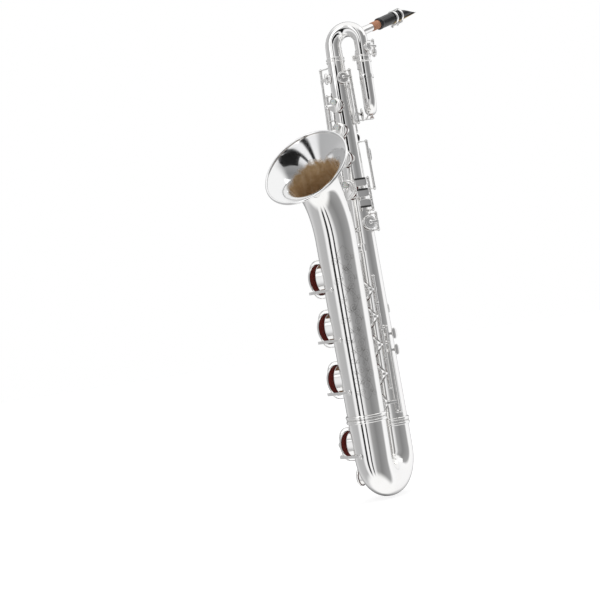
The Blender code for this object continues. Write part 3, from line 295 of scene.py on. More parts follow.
# ---- a piece of the visible model ---------------------------------------------------
class Piece:
    """Gathers mesh shapes with their finishes, then becomes one object riding on a body."""

    def __init__(self, name, body, finish):
        self.name, self.body = name, body
        self.finishes = [finish]
        self.work = bmesh.new()

    def skin(self, loops, closed_ring=True, closed_line=False, caps=False, finish=None):
        """Bridge loops of points; one-point loops make a pole."""
        finish = finish or self.finishes[0]
        if finish not in self.finishes:
            self.finishes.append(finish)
        rows = [[self.work.verts.new(p) for p in loop] for loop in loops]
        faces = []
        pairs = list(zip(rows, rows[1:]))
        if closed_line:
            pairs.append((rows[-1], rows[0]))
        for low, high in pairs:
            count = max(len(low), len(high))
            for i in range(count if closed_ring else count - 1):
                j = (i + 1) % count
                corners = (low[i % len(low)], low[j % len(low)], high[j % len(high)], high[i % len(high)])
                unique = list(dict.fromkeys(corners))
                if len(unique) > 2:
                    faces.append(self.work.faces.new(unique))
        if caps:
            faces += [self.work.faces.new(rows[0]), self.work.faces.new(rows[-1])]
        for face in faces:
            face.material_index = self.finishes.index(finish)
            face.smooth = True
        bmesh.ops.recalc_face_normals(self.work, faces=faces)
        return faces

    def lathe(self, profile, place=None, segments=ROUND_SEGMENTS, ring=False, finish=None):
        """Turn (radius, height) points around Z; ring closes the outline on itself."""
        place = place or Matrix.Identity(4)
        loops = []
        for radius, height in profile:
            if radius < 1e-9:
                loops.append([place @ Vector((0, 0, height))])
                continue
            loops.append([place @ Vector((radius * math.cos(a), radius * math.sin(a), height))
                          for a in circle(segments)])
        return self.skin(loops, closed_line=ring, finish=finish)

    def rod(self, start, end, radius, segments=ROUND_SEGMENTS, edge=0.0003, finish=None):
        """A round bar with slightly rounded ends."""
        length = (end - start).length
        edge = min(edge, radius / 2, length / 4)
        profile = [(0, 0), (radius - edge, 0), (radius, edge), (radius, length - edge),
                   (radius - edge, length), (0, length)]
        return self.lathe(profile, frame_at(start, end - start), segments, finish=finish)

    def stud(self, place, radius, inner, low, shoulder, top, crown, segments=DISC_SEGMENTS, finish=None):
        """A turned disc with a chamfered top, in millimetres."""
        profile = mm((0, low), (radius, low), (radius, shoulder), (inner, top), (0, crown))
        return self.lathe(profile, place, segments, finish=finish)

    def ball(self, centre, radius, flat=1.0, axis=(0, 0, 1), segments=ROUND_SEGMENTS, finish=None):
        steps = segments // 2
        profile = [(radius * math.sin(math.pi * k / steps), -radius * flat * math.cos(math.pi * k / steps))
                   for k in range(steps + 1)]
        profile[0], profile[-1] = (0, profile[0][1]), (0, profile[-1][1])
        return self.lathe(profile, frame_at(centre, axis), segments, finish=finish)

    def strap(self, points, widths, thickness, side, steps=28, square=0.45, finish=None):
        """Sweep a soft-edged flat section along a smooth curve through the points."""
        path = smooth_path([Vector(p) for p in points], steps)
        loops = []
        for index, point in enumerate(path):
            before, after = path[max(index - 1, 0)], path[min(index + 1, len(path) - 1)]
            along = (after - before).normalized()
            across = (side - along * side.dot(along)).normalized()
            up = along.cross(across)
            share = index / (len(path) - 1)
            width = widths[0] + (widths[1] - widths[0]) * share
            loops.append([point + across * (width / 2) * x + up * (thickness / 2) * y
                          for x, y in soft_square(square)])
        return self.skin(loops, caps=True, finish=finish)

    def done(self, replaces=(), soften=0.0, sharp=40.0):
        mesh = bpy.data.meshes.new(self.name)
        self.work.to_mesh(mesh)
        self.work.free()
        mesh.set_sharp_from_angle(angle=math.radians(sharp))
        for finish in self.finishes:
            mesh.materials.append(FINISHES[finish])
        item = bpy.data.objects.new(self.name, mesh)
        bpy.context.scene.collection.objects.link(item)
        if soften:
            bevel = item.modifiers.new("soft_edges", "BEVEL")
            bevel.width, bevel.segments = soften, 2
            bevel.limit_method, bevel.angle_limit = "ANGLE", math.radians(50)
        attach(item, self.body)
        if replaces:
            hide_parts(*replaces)
        return item


def soft_square(power, count=16):
    """A unit square with rounded corners, as points."""
    return squared(power, circle(count, 0.5))


def squared(power, angles):
    """Points round a shape between a square (power 0) and a circle (power 1)."""
    points = []
    for angle in angles:
        c, s = math.cos(angle), math.sin(angle)
        points.append((math.copysign(abs(c) ** power, c), math.copysign(abs(s) ** power, s)))
    return points


def smooth_path(points, steps):
    """Points on a Catmull-Rom curve through the given ones."""
    if len(points) == 2:
        return [points[0].lerp(points[1], k / 4) for k in range(5)]
    padded = [points[0] * 2 - points[1]] + points + [points[-1] * 2 - points[-2]]
    spans = len(points) - 1
    path = []
    for k in range(steps + 1):
        place = min(k * spans / steps, spans - 1e-9)
        index, t = int(place), place - int(place)
        a, b, c, d = padded[index:index + 4]
        path.append(0.5 * ((2 * b) + (c - a) * t + (2 * a - 5 * b + 4 * c - d) * t * t
                           + (3 * b - a - 3 * c + d) * t ** 3))
    return path


# ---- materials ----------------------------------------------------------------------
class Tree:
    """A node tree with short calls: an input is given as a value or as another node's socket."""

    def __init__(self, tree):
        self.tree = tree

    def add(self, kind, inputs=None, **settings):
        node = self.tree.nodes.new("ShaderNode" + kind)
        for key, value in settings.items():
            setattr(node, key, value)
        for key, value in (inputs or {}).items():
            self.set(node, key, value)
        return node

    def set(self, node, key, value):
        if isinstance(value, bpy.types.NodeSocket):
            self.tree.links.new(value, node.inputs[key])
        else:
            node.inputs[key].default_value = value


class Nodes(Tree):
    """A material's node tree."""

    def __init__(self, name):
        self.material = bpy.data.materials.new(name)
        self.material.use_nodes = True
        super().__init__(self.material.node_tree)
        self.shader = self.tree.nodes["Principled BSDF"]
        self.place = self.tree.nodes.new("ShaderNodeTexCoord").outputs["Object"]

    def noise(self, scale, detail=4.0, rough=0.55, stretch=None):
        place = self.place
        if stretch:
            place = self.add("Mapping", {"Vector": place, "Scale": stretch}).outputs["Vector"]
        return self.add("TexNoise", {"Vector": place, "Scale": scale, "Detail": detail,
                                     "Roughness": rough}).outputs["Fac"]

    def ramp(self, value, low, high, out_low=0.0, out_high=1.0):
        return self.add("MapRange", {"Value": value, "From Min": low, "From Max": high, "To Min": out_low,
                                     "To Max": out_high}).outputs["Result"]

    def mix(self, share, first, second):
        node = self.add("Mix", data_type="RGBA")
        self.set(node, 0, share)
        for index, colour in ((6, first), (7, second)):
            if isinstance(colour, bpy.types.NodeSocket):
                self.set(node, index, colour)
            else:
                self.set(node, index, (*colour, 1.0))
        return node.outputs[2]

    def bump(self, height, strength, distance, normal=None):
        inputs = {"Height": height, "Strength": strength, "Distance": distance}
        if normal is not None:
            inputs["Normal"] = normal
        return self.add("Bump", inputs).outputs["Normal"]

    def edges(self, reach=0.0015):
        """Near 1 in crevices, near 0 on open surfaces."""
        dirt = self.add("AmbientOcclusion", {"Distance": reach}, samples=4)
        return self.ramp(dirt.outputs["AO"], 0.35, 0.9, 1.0, 0.0)

    def finish(self, **inputs):
        for key, value in inputs.items():
            self.set(self.shader, key.replace("_", " "), value)
        return self.material


def plated(name, tint, rough_low, rough_high, wave, dirt):
    """Silver plate: near-mirror, with faint waves, fine scratches and tarnish in the corners."""
    nodes = Nodes(name)
    clouds = nodes.noise(22.0, 6.0)
    scratches = nodes.noise(260.0, 3.0, 0.7, (1.0, 1.0, 0.06))
    worn = nodes.add("Math", {0: nodes.ramp(clouds, 0.35, 0.7, rough_low, rough_high),
                              1: nodes.ramp(scratches, 0.62, 0.75, 0.0, 0.05)}, operation="ADD").outputs[0]
    warm = tuple(c * f for c, f in zip(tint, (0.80, 0.73, 0.62)))
    hue = nodes.mix(nodes.ramp(clouds, 0.45, 0.85, 0.0, 0.10), tint, warm)
    if dirt:
        hue = nodes.mix(nodes.add("Math", {0: nodes.edges(), 1: dirt}, operation="MULTIPLY").outputs[0],
                        hue, (0.16, 0.13, 0.10))
    normal = nodes.bump(nodes.noise(34.0, 2.0), wave, 0.0012)
    normal = nodes.bump(scratches, 0.02, 0.0001, normal)
    return nodes.finish(Base_Color=hue, Metallic=1.0, Roughness=worn, Normal=normal)


def bell_throat():
    """Silver at the rim, running into golden brown down the throat and into painted shade deeper in, set by
    the throat attribute.
    """
    nodes = Nodes("bell_inside_plate")
    depth = nodes.add("Attribute", attribute_name="throat").outputs["Fac"]
    mottle = nodes.noise(60.0, 8.0, 0.65)
    streaks = nodes.noise(90.0, 4.0, 0.6, (1.0, 1.0, 0.15))
    ragged = nodes.add("Math", {0: depth, 1: nodes.ramp(mottle, 0.3, 0.7, -0.03, 0.03)},
                       operation="ADD").outputs[0]
    share = nodes.ramp(ragged, 0.13, 0.18)
    gold_and_shade = nodes.mix(nodes.ramp(mottle, 0.35, 0.7), (0.66, 0.48, 0.28), (0.46, 0.29, 0.14))
    gold_and_shade = nodes.mix(nodes.ramp(streaks, 0.5, 0.75, 0.0, 0.6), gold_and_shade, (0.80, 0.66, 0.46))
    # painted shade: deeper down the throat the gold darkens towards a near-black brown, standing in for the
    # shade inside the bell
    gold_and_shade = nodes.mix(nodes.ramp(ragged, 0.45, 1.0), gold_and_shade, (0.16, 0.08, 0.035))
    hue = nodes.mix(share, (0.90, 0.90, 0.90), gold_and_shade)
    rough = nodes.add("Math", {0: nodes.ramp(share, 0.0, 1.0, 0.06, 0.42),
                               1: nodes.ramp(mottle, 0.3, 0.7, 0.0, 0.08)}, operation="ADD").outputs[0]
    normal = nodes.bump(mottle, nodes.ramp(share, 0.0, 1.0, 0.0, 0.30), 0.0006)
    return nodes.finish(Base_Color=hue, Metallic=nodes.ramp(share, 0.0, 1.0, 1.0, 0.45), Roughness=rough,
                        Normal=normal)


def leather():
    nodes = Nodes("pad_kid_leather")
    grain = nodes.add("TexVoronoi", {"Vector": nodes.place, "Scale": 1400.0}).outputs["Distance"]
    creases = nodes.noise(420.0, 6.0)
    hue = nodes.mix(nodes.ramp(creases, 0.3, 0.75), (0.27, 0.030, 0.018), (0.13, 0.012, 0.010))
    hue = nodes.mix(nodes.edges(0.004), hue, (0.05, 0.006, 0.005))
    normal = nodes.bump(grain, 0.35, 0.0003, nodes.bump(creases, 0.3, 0.0004))
    return nodes.finish(Base_Color=hue, Roughness=nodes.ramp(creases, 0.3, 0.7, 0.42, 0.62), Normal=normal)


def grained(name, grain, tones, rough, bump=None, **more):
    """Two tones mixed by a noise, which can also set the roughness and the bump."""
    nodes = Nodes(name)
    noise = nodes.noise(*grain)
    low, high, first, second = tones
    hue = nodes.mix(nodes.ramp(noise, low, high), first, second)
    if not isinstance(rough, float):
        rough = nodes.ramp(noise, *rough)
    if bump:
        more["Normal"] = nodes.bump(noise, *bump)
    return nodes.finish(Base_Color=hue, Roughness=rough, **more)


def cork():
    nodes = Nodes("neck_cork_grain")
    cells = nodes.add("TexVoronoi", {"Vector": nodes.place, "Scale": 700.0}).outputs["Distance"]
    flecks = nodes.noise(330.0, 5.0, 0.7)
    hue = nodes.mix(nodes.ramp(flecks, 0.35, 0.65), (0.62, 0.26, 0.14), (0.72, 0.38, 0.24))
    hue = nodes.mix(nodes.ramp(flecks, 0.62, 0.72, 0.0, 0.8), hue, (0.20, 0.07, 0.03))
    return nodes.finish(Base_Color=hue, Roughness=0.82, Normal=nodes.bump(cells, 0.5, 0.0004))


def ebonite(name, base, rough):
    """Hard black rubber, polished, with faint turning lines and finger haze."""
    nodes = Nodes(name)
    haze = nodes.noise(70.0, 5.0)
    lines = nodes.noise(900.0, 2.0, 0.5, (0.05, 0.05, 1.0))
    hue = nodes.mix(nodes.ramp(haze, 0.4, 0.8), base, tuple(c * 2.2 + 0.004 for c in base))
    return nodes.finish(Base_Color=hue, Roughness=nodes.ramp(haze, 0.3, 0.75, rough, rough + 0.16),
                        Coat_Weight=0.25, Coat_Roughness=0.08, Normal=nodes.bump(lines, 0.05, 0.0002))


def pearl():
    nodes = Nodes("finger_pearl")
    cloud = nodes.noise(240.0, 4.0, 0.5, (1.0, 0.5, 1.0))
    hue = nodes.mix(nodes.ramp(cloud, 0.4, 0.65), (0.86, 0.84, 0.80), (0.74, 0.80, 0.80))
    hue = nodes.mix(nodes.ramp(cloud, 0.6, 0.75, 0.0, 0.6), hue, (0.88, 0.74, 0.76))
    return nodes.finish(Base_Color=hue, Roughness=0.16, Coat_Weight=0.8, Coat_Roughness=0.03,
                        Subsurface_Weight=0.15, Subsurface_Scale=0.001)


SILVER = (0.955, 0.95, 0.94)
FINISHES = {
    "plate": plated("silver_plate_body", SILVER, 0.030, 0.085, 0.035, 0.0),
    "key": plated("silver_plate_keys", SILVER, 0.045, 0.13, 0.05, 0.65),
    "throat": bell_throat(),
    "engraved": grained("engraved_line", (1500.0, 3.0), (0.35, 0.65, (0.12, 0.115, 0.11),
                                                         (0.42, 0.41, 0.39)),
                        0.42, (0.6, 0.0004), Metallic=1.0),
    "steel": grained("hinge_rod_steel", (1200.0, 3.0), (0.3, 0.7, (0.50, 0.50, 0.51), (0.63, 0.63, 0.64)),
                     (0.3, 0.7, 0.2, 0.34), Metallic=1.0),
    "spring": grained("needle_spring_steel", (600.0, 4.0), (0.3, 0.7, (0.05, 0.07, 0.13),
                                                            (0.12, 0.11, 0.12)),
                      (0.3, 0.7, 0.22, 0.36), Metallic=1.0),
    "leather": leather(),
    "felt": grained("bumper_felt", (1800.0, 6.0, 0.8), (0.3, 0.7, (0.05, 0.012, 0.010), (0.13, 0.03, 0.02)),
                    0.95, (0.8, 0.0005)),
    "cork": cork(),
    "ebonite": ebonite("mouthpiece_ebonite", (0.010, 0.010, 0.011), 0.12),
    "roller": ebonite("roller_black", (0.014, 0.013, 0.013), 0.22),
    "cane": grained("reed_cane_fibre", (500.0, 5.0, 0.6, (1.0, 1.0, 0.05)),
                    (0.35, 0.7, (0.78, 0.60, 0.30), (0.62, 0.42, 0.17)), 0.55, (0.25, 0.0002)),
    "pearl": pearl(),
}


# ---- the tubes ----------------------------------------------------------------------
def tube_loops(line, radius_at, side, offset=0.0, segments=TUBE_SEGMENTS):
    side = Vector(side).normalized()
    loops = []
    for index, (point, distance) in enumerate(zip(line.points, line.stations)):
        along = line.direction(index)
        across = (side - along * side.dot(along)).normalized()
        other = along.cross(across)
        radius = radius_at(distance) + offset
        loops.append([point + across * radius * math.cos(a) + other * radius * math.sin(a)
                      for a in circle(segments)])
    return loops


def hollow_tube(piece, line, radius_at, side, segments=TUBE_SEGMENTS):
    outer = tube_loops(line, radius_at, side, 0.0, segments)
    inner = tube_loops(line, radius_at, side, -WALL, segments)
    piece.skin(outer + inner[::-1], closed_line=True)


def banded(piece, place, radius, half, bands):
    """A joint band: straight ends, with a half-round rib at each of its two edges."""
    inset, lift, height, reach, steps = bands
    profile = [(radius, -half)]
    for centre in (-half + inset, half - inset):
        for k in range(steps + 1):
            turn = math.pi * k / steps
            profile.append((radius + lift + height * math.sin(turn), centre - reach * math.cos(turn)))
    profile.append((radius, half))
    piece.lathe(profile, place, TUBE_SEGMENTS, ring=True)


FERRULE_RIBS = (0.0024, 0.0008, 0.0016, 0.0020, 8)      # inset, lift, height, half width, steps
RING_RIBS = (0.0035, 0.0012, 0.0020, 0.0031, 10)


def beaded_ring(name, node, line_foot, axis, radius):
    """The ring that joins bow and tube: two rounded bands and a row of beads between them."""
    piece = Piece(name, HORN, "plate")
    half, bead = 0.009, 0.0011
    place = frame_at(line_foot, axis)
    banded(piece, place, radius, half, RING_RIBS)
    row = radius + 0.0013
    for angle in circle(int(2 * math.pi * (radius + 0.0012) / (2.2 * bead))):
        centre = Vector((row * math.cos(angle), row * math.sin(angle), 0))
        piece.ball(place @ centre, bead, segments=8)
    piece.done([node])


def build_tubes():
    """Body, bow, arch and loop, each with the chimneys that stand on it."""
    legs = level(LOOP_X, LOOP_Y).normalized()
    bend = level(RETURN_Y - LOOP_Y, LOOP_X - RETURN_X)
    made = (
        ("body", "body_tube_plate", "body_tube", X, TUBE_SEGMENTS),
        ("bow", "bow_plate", "bow", X, TUBE_SEGMENTS),
        ("arch", "upper_bow_plate", "upper_bow", (-legs.y, legs.x, 0), LOOP_SEGMENTS),
        ("loop", "loop_tube_plate", "loop_tube", bend, LOOP_SEGMENTS),
    )
    for tube, name, node, side, segments in made:
        piece = Piece(name, HORN, "plate")
        line, radius_at = TUBES[TUBE_NAMES.index(tube)]
        hollow_tube(piece, line, radius_at, side, segments)
        if tube == "body":
            banded(piece, frame_at(at(0, 0, BODY_TOP_Z - 0.006), Z), BODY_R_TOP, 0.0055, FERRULE_RIBS)
        if tube == "loop":
            banded(piece, frame_at(at(LOOP_X, LOOP_Y, LOOP_TOP_Z - 0.004), Z), LOOP_R_START, 0.0085,
                   FERRULE_RIBS)
            piece.lathe(mm((2.4, -2), (3.4, -2), (3.4, 2.8), (3, 3.5), (2.4, 3.5)), loop_low(),
                        SCREW_SEGMENTS, ring=True)
        add_chimneys(piece, [key for key in KEYS.values() if key.tube == tube])
        piece.done([node])


def loop_low():
    """At the lowest point of the loop's small bend: Z down, Y along the bend's plane."""
    across = level(RETURN_X - LOOP_X, RETURN_Y - LOOP_Y)
    radius = (LOOP_R_START + LOOP_R_END) / 2
    point = at((LOOP_X + RETURN_X) / 2, (LOOP_Y + RETURN_Y) / 2, LOOP_BEND_Z - across.length / 2 - radius)
    return frame_at(point, -Z, across.cross(-Z))


def build_bell():
    piece = Piece("bell_plate", HORN, "plate")
    side = X
    outer = tube_loops(BELL_LINE, bell_radius, side, 0.0, BELL_SEGMENTS)
    inner = tube_loops(BELL_LINE, bell_radius, side, -WALL, BELL_SEGMENTS)
    rim_centre, along = BELL_LINE.points[-1], BELL_LINE.direction(len(BELL_LINE.points) - 1)
    other = along.cross(side)
    bead = []
    for k in range(17):
        angle = math.radians(-100 + 340 * k / 16)
        height, radius = RIM_BEAD * math.sin(angle), BELL_RIM_R - RIM_BEAD + RIM_BEAD * math.cos(angle)
        bead.append([rim_centre + along * height + (side * math.cos(a) + other * math.sin(a)) * radius
                     for a in circle(BELL_SEGMENTS)])
    piece.skin(outer + bead + inner[::-1], closed_line=True)
    add_chimneys(piece, [key for key in KEYS.values() if key.tube == "bell"])
    piece.finishes.append("throat")
    for face in piece.work.faces:
        if len(face.verts) == 4 and is_inside_bell(face):
            face.material_index = 1
    bell = piece.done(["bell"])
    mark_throat(bell)


def is_inside_bell(face):
    gap, _, distance = BELL_LINE.nearest(face.calc_center_median())
    return gap < bell_radius(distance) - WALL * 0.6 and distance > 0.02


def mark_throat(bell):
    """Store how deep in the bell each point is: 0 at the rim, 1 a throat's length below it."""
    depth = bell.data.attributes.new("throat", "FLOAT", "POINT")
    values = []
    for vertex in bell.data.vertices:
        deep = BELL_LINE.length - BELL_LINE.nearest(vertex.co)[2]
        values.append(min(1.0, max(0.0, deep / THROAT_LENGTH)))
    depth.data.foreach_set("value", values)


def build_brace():
    """The strut between body tube and bell, on a curved saddle at each end."""
    piece = Piece("bell_brace_plate", HORN, "plate")
    z = middle("bell_brace").z - HOME.z
    saddle(piece, HOME, Z, body_radius, 0, z, 0.0175)
    saddle(piece, BELL_FOOT, BELL_AXIS, lambda along: bell_radius(along - BELL_RING_Z), 180, z, 0.020)
    front, back = on_body(0, z, 0.002).translation, on_bell(180, z, 0.002).translation
    piece.strap([front, (front + back) / 2, back], (0.012, 0.012), 0.006, X)
    piece.lathe(mm((5, -3.5), (9.8, -3.5), (10.8, -1.5), (10.8, 1.5), (9.8, 3.5), (5, 3.5)),
                frame_at((front + back) / 2, (1, 0, 0)), 40, ring=True)
    piece.done(["bell_brace"], 0.0004)


def saddle(piece, foot, axis, radius_at, phi, z, half_width, half_height=0.010, thick=0.0016):
    """An oval plate that follows a tube's surface."""
    rings = []
    centre_radius = radius_at(z)
    for share, lift in ((1.0, 0.0003), (1.0, 0.0003 + thick * 0.6), (0.94, thick), (0.6, thick + 0.0002),
                        (0.25, thick + 0.0003)):
        loop = []
        for x, y in squared(0.6, circle(PLATE_SEGMENTS)):
            x, y = x * half_width * share, y * half_height * share
            place = on_tube(foot, axis, radius_at(z + y), phi + math.degrees(x / centre_radius), z + y,
                            lift)
            loop.append(place.translation)
        rings.append(loop)
    rings.append([on_tube(foot, axis, centre_radius, phi, z, thick + 0.0004).translation])
    piece.skin([[on_tube(foot, axis, centre_radius, phi, z, 0.0003).translation]] + rings)


# ---- what the frame says about each key ---------------------------------------------
JOINTS = {joint["child"]: joint for joint in frame["joints"]}
TUBE_NAMES = ("body", "bow", "bell", "arch", "loop")


def flat_areas(node, alike, depth, wanted):
    """Groups of a node's faces that lie in one plane: (area, centre, normal, corner points)."""
    mesh = frame["nodes"][node].data
    groups = []
    for face in filter(wanted, mesh.polygons):
        for group in groups:
            first = group[0]
            off_plane = abs((face.center - first.center).dot(first.normal))
            if face.normal.dot(first.normal) > alike and off_plane < depth:
                group.append(face)
                break
        else:
            groups.append([face])
    areas = []
    for group in groups:
        area = sum(face.area for face in group)
        centre = sum((face.center * face.area for face in group), Vector()) / area
        normal = sum((face.normal * face.area for face in group), Vector()).normalized()
        points = [mesh.vertices[index].co for face in group for index in face.vertices]
        areas.append((area, centre, normal, points))
    return sorted(areas, key=lambda found: -found[0])


def turn_about(point, axis, angle):
    return Matrix.Translation(point) @ Matrix.Rotation(angle, 4, axis) @ Matrix.Translation(-point)


class KeyFrame:
    """One key of the frame: its hinge line, its cup and its touch."""

    def __init__(self, name):
        joint = JOINTS[name]
        self.name = name
        self.pivot, self.axis = Vector(joint["pos_m"]), Vector(joint["axis"]).normalized()
        self.travel = math.radians(joint["range_deg"][1])
        reach = [(v.co - self.pivot).dot(self.axis) for v in frame["nodes"][name].data.vertices
                 if self.off_axis(v.co) < HINGE_R + GAP]
        self.low, self.high = min(reach), max(reach)
        self.tube = None
        if name in OPEN_KEYS + CLOSED_KEYS:
            self.find_cup()
        if name in WITH_TOUCH:
            self.find_touch()

    def off_axis(self, point):
        along = self.axis * (point - self.pivot).dot(self.axis)
        return (point - self.pivot - along).length

    def beside_hinge(self, face):
        return self.off_axis(face.center) > 0.005

    def hinge_point(self, near, inset=0.004):
        """The point of the hinge line nearest to a place, kept inside the hinge tube."""
        along = (near - self.pivot).dot(self.axis)
        return self.pivot + self.axis * min(max(along, self.low + inset), self.high - inset)

    def find_cup(self):
        """The frame under the pad: Z outwards, Y up the tube; and the same frame when closed."""
        pad_only = self.name in BELL_KEYS
        node = self.name.replace("_key", "_pad") if pad_only else self.name
        for _, centre, normal, points in flat_areas(node, 0.9999, 0.00002, self.beside_hinge):
            if normal.dot(ground(centre)[1]) < -0.5:
                break
        self.cup_r = max((point - centre).length for point in points) + (0.0016 + GAP if pad_only else 0.0)
        outward = -normal
        up = self.axis if self.axis.z > 0 else -self.axis
        self.cup = frame_at(centre, outward, up.cross(outward))
        closing = turn_about(self.pivot, self.axis, self.travel if self.name in OPEN_KEYS else 0.0)
        self.closed = closing @ self.cup
        gaps = []
        for line, radius in TUBES:
            gap, _, distance = line.nearest(self.closed.translation)
            gaps.append(abs(gap - radius(distance)))
        self.tube = TUBE_NAMES[gaps.index(min(gaps))]

    def find_touch(self):
        """The frame on the touch plate's top, Y along the hinge, and its half sizes."""
        for _, centre, normal, points in flat_areas(self.name, 0.9925, 0.0012, self.beside_hinge):
            if normal.dot((centre - HOME) * Vector((1, 1, 0))) < 0:
                continue
            if self.tube and (centre - self.cup.translation).length < self.cup_r * 1.15:
                continue
            break
        self.touch = frame_at(centre, normal, self.axis.cross(normal))
        inverse = self.touch.inverted()
        flat = [inverse @ point for point in points]
        rim = 0.90                                   # the plate's flat top is this share of its outline
        self.touch_x = max(abs(p.x) for p in flat) / rim
        self.touch_y = max(abs(p.y) for p in flat) / rim


KEYS = {name: KeyFrame(name) for name in OPEN_KEYS + CLOSED_KEYS + TOUCHES}


# ---- keys ---------------------------------------------------------------------------
def add_chimneys(piece, keys):
    """The rolled rims of the tone holes under the closed cups."""
    for key in keys:
        radius = key.cup_r - CUP_OVER
        tube_r = min(TUBES[TUBE_NAMES.index(key.tube)][1](0.0), 0.045)
        depth = CHIMNEY + tube_r - math.sqrt(max(tube_r ** 2 - radius ** 2, 0.0)) + 2 * WALL
        top = -GAP
        profile = [(radius - WALL, -depth), (radius, -depth), (radius, top - 0.0012)]
        profile += [(radius - 0.0002 + 0.0006 * math.cos(a), top - 0.0006 + 0.0006 * math.sin(a))
                    for a in (math.radians(d) for d in (-30, 10, 50, 90, 130, 180))]
        profile.append((radius - WALL, top - 0.0010))
        piece.lathe(profile, key.closed, CUP_SEGMENTS, ring=True)


def add_cup(piece, key):
    """The pressed cup: rolled lip, straight wall, stepped and slightly domed top."""
    r, top = key.cup_r, CUP_T
    profile = [(0, 0.0036), (r - 0.0015, 0.0036), (r - 0.0015, 0.0007), (r - 0.0012, 0.0002),
               (r - 0.0006, 0.0),
               (r - 0.0001, 0.0004), (r, 0.0010), (r, top - 0.0028)]
    profile += [(r - 0.0026 + 0.0026 * math.cos(a), top - 0.0028 + 0.0026 * math.sin(a))
                for a in (math.radians(d) for d in (15, 30, 45, 60, 75, 90))]
    step = r * 0.70
    profile += [(step + 0.0008, top - 0.0001), (step + 0.0002, top + 0.0005), (step - 0.0006, top + 0.0006),
                (step * 0.5, top + 0.0010), (0, top + 0.0012)]
    piece.lathe(profile, key.cup, CUP_SEGMENTS)


def add_arm(piece, key):
    """The arm from the hinge tube over the cup to the boss at its middle."""
    root = key.hinge_point(key.cup.translation, 0.006 if key.high - key.low > 0.02 else 0.003)
    t, s, n = key.cup.inverted() @ root
    big = key.cup_r > 0.02
    top = CUP_T + 0.0012
    length = math.hypot(t, s)
    over = max(0.0, 1 - (key.cup_r + 0.001) / length)
    path = [(t, s, n), (t * 0.98, s * 0.98, n + 0.0022), (t * (1 - over * 0.55), s * (1 - over * 0.55),
                                                          top + 0.0016),
            (t * 0.5, s * 0.5, top + 0.0012), (0, 0, top + 0.0004)]
    width = 0.0066 if big else 0.0050
    piece.strap([key.cup @ Vector(p) for p in path], (width * 0.85, width * 1.1), 0.0028,
                key.cup.col[1].to_3d(), square=0.6)
    boss = key.cup_r * 0.30
    piece.lathe([(0, top - 0.001), (boss, top - 0.001), (boss, top + 0.0003), (boss * 0.8, top + 0.0013),
                 (boss * 0.5, top + 0.0020), (boss * 0.22, top + 0.0026), (0, top + 0.0027)], key.cup, 32)
    sleeve = key.axis * 0.0048
    piece.rod(root - sleeve, root + sleeve, HINGE_R + 0.0006)


def add_touch(piece, key):
    """A crowned finger plate on its arm."""
    flat = key.name in ("low_bb_touch", "low_b_touch", "gsharp_touch")
    power = 0.42 if flat else 0.78
    crown = 0.0004 if flat else 0.0014
    rows = []
    for share, height in ((0.0, -0.0030), (0.90, -0.0030), (0.98, -0.0024), (1.0, -0.0014),
                          (0.985, -0.0006),
                          (0.93, 0.0), (0.70, crown * 0.55), (0.35, crown * 0.9), (0.0, crown)):
        if share == 0.0:
            rows.append([key.touch @ Vector((0, 0, height))])
            continue
        rows.append([key.touch @ Vector((key.touch_x * share * x, key.touch_y * share * y, height))
                     for x, y in squared(power, circle(PLATE_SEGMENTS))])
    piece.skin(rows)
    root = key.hinge_point(key.touch.translation)
    under = key.touch @ Vector((0, 0, -0.0020))
    rise = key.touch.col[2].to_3d()
    piece.strap([root, root.lerp(under, 0.25) + rise * 0.0012, root.lerp(under, 0.65) + rise * 0.0006,
                 under],
                (0.0056, 0.0072), 0.0024, key.axis, square=0.6)
    sleeve = key.axis * 0.0040
    piece.rod(root - sleeve, root + sleeve, HINGE_R + 0.0005)


def add_hinge_tube(piece, key):
    low, high = key.pivot + key.axis * key.low, key.pivot + key.axis * key.high
    piece.rod(low, high, HINGE_R, edge=0.0004)
    for end, inward in ((low, key.axis), (high, -key.axis)):
        piece.rod(end, end + inward * 0.0022, HINGE_R + 0.0004, edge=0.0002)


def build_pad(key):
    """A leather pad in the cup, with the tone hole's print and a domed metal resonator."""
    r = key.cup_r
    piece = Piece(key.name.replace("_key", "") + "_pad_leather", key.name, "leather")
    seat = r - CUP_OVER - WALL / 2
    profile = [(0, 0.0034), (r - 0.0017, 0.0034), (r - 0.0017, 0.0006), (r - 0.0021, 0.0001),
               (r - 0.0026, 0.0),
               (seat + 0.0007, 0.0), (seat, 0.00025), (seat - 0.0007, 0.0), (r * 0.5, 0.0), (0, 0.0001)]
    piece.lathe(profile, key.cup, CUP_SEGMENTS)
    dome = r * 0.30
    piece.lathe([(0, -0.0007), (dome * 0.2, -0.0007), (dome * 0.24, -0.0004), (dome * 0.7, -0.0003),
                 (dome * 0.97, 0.0),
                 (dome, 0.0003), (0, 0.0006)], key.cup, 32, finish="key")
    replaced = [key.name.replace("_key", "_pad")] if key.name in BELL_KEYS else []
    piece.done(replaced)


def build_key(key):
    piece = Piece(key.name + "_work", key.name, "key")
    add_hinge_tube(piece, key)
    if key.tube:
        add_cup(piece, key)
        add_arm(piece, key)
        build_pad(key)
    if key.name in WITH_TOUCH:
        add_touch(piece, key)
    if key.name in STACK_KEYS["lower"][:3] + STACK_KEYS["upper"]:
        place = key.cup @ Matrix.Translation((0, key.cup_r * 0.45, CUP_T))
        piece.lathe(mm((0, -2), (6, -2), (6.4, 1.8), (8, 3.2), (8.2, 4.6), (7.8, 5.1), (7.3, 4.8), (7.1, 4),
                       (0, 4)), place, 40)
        button = Piece(key.name.replace("_key", "") + "_pearl", key.name, "pearl")
        button.lathe(mm((0, 3.6), (7, 3.6), (7.1, 4.4), (6.6, 5), (5.2, 4.9), (3, 4.6), (0, 4.5)), place,
                     40)
        button.done()
    piece.done([key.name])


# ---- posts, ribs and rods -----------------------------------------------------------
def hinge_ends(key):
    return [key.pivot + key.axis * (key.low - SEAT), key.pivot + key.axis * (key.high + SEAT)]


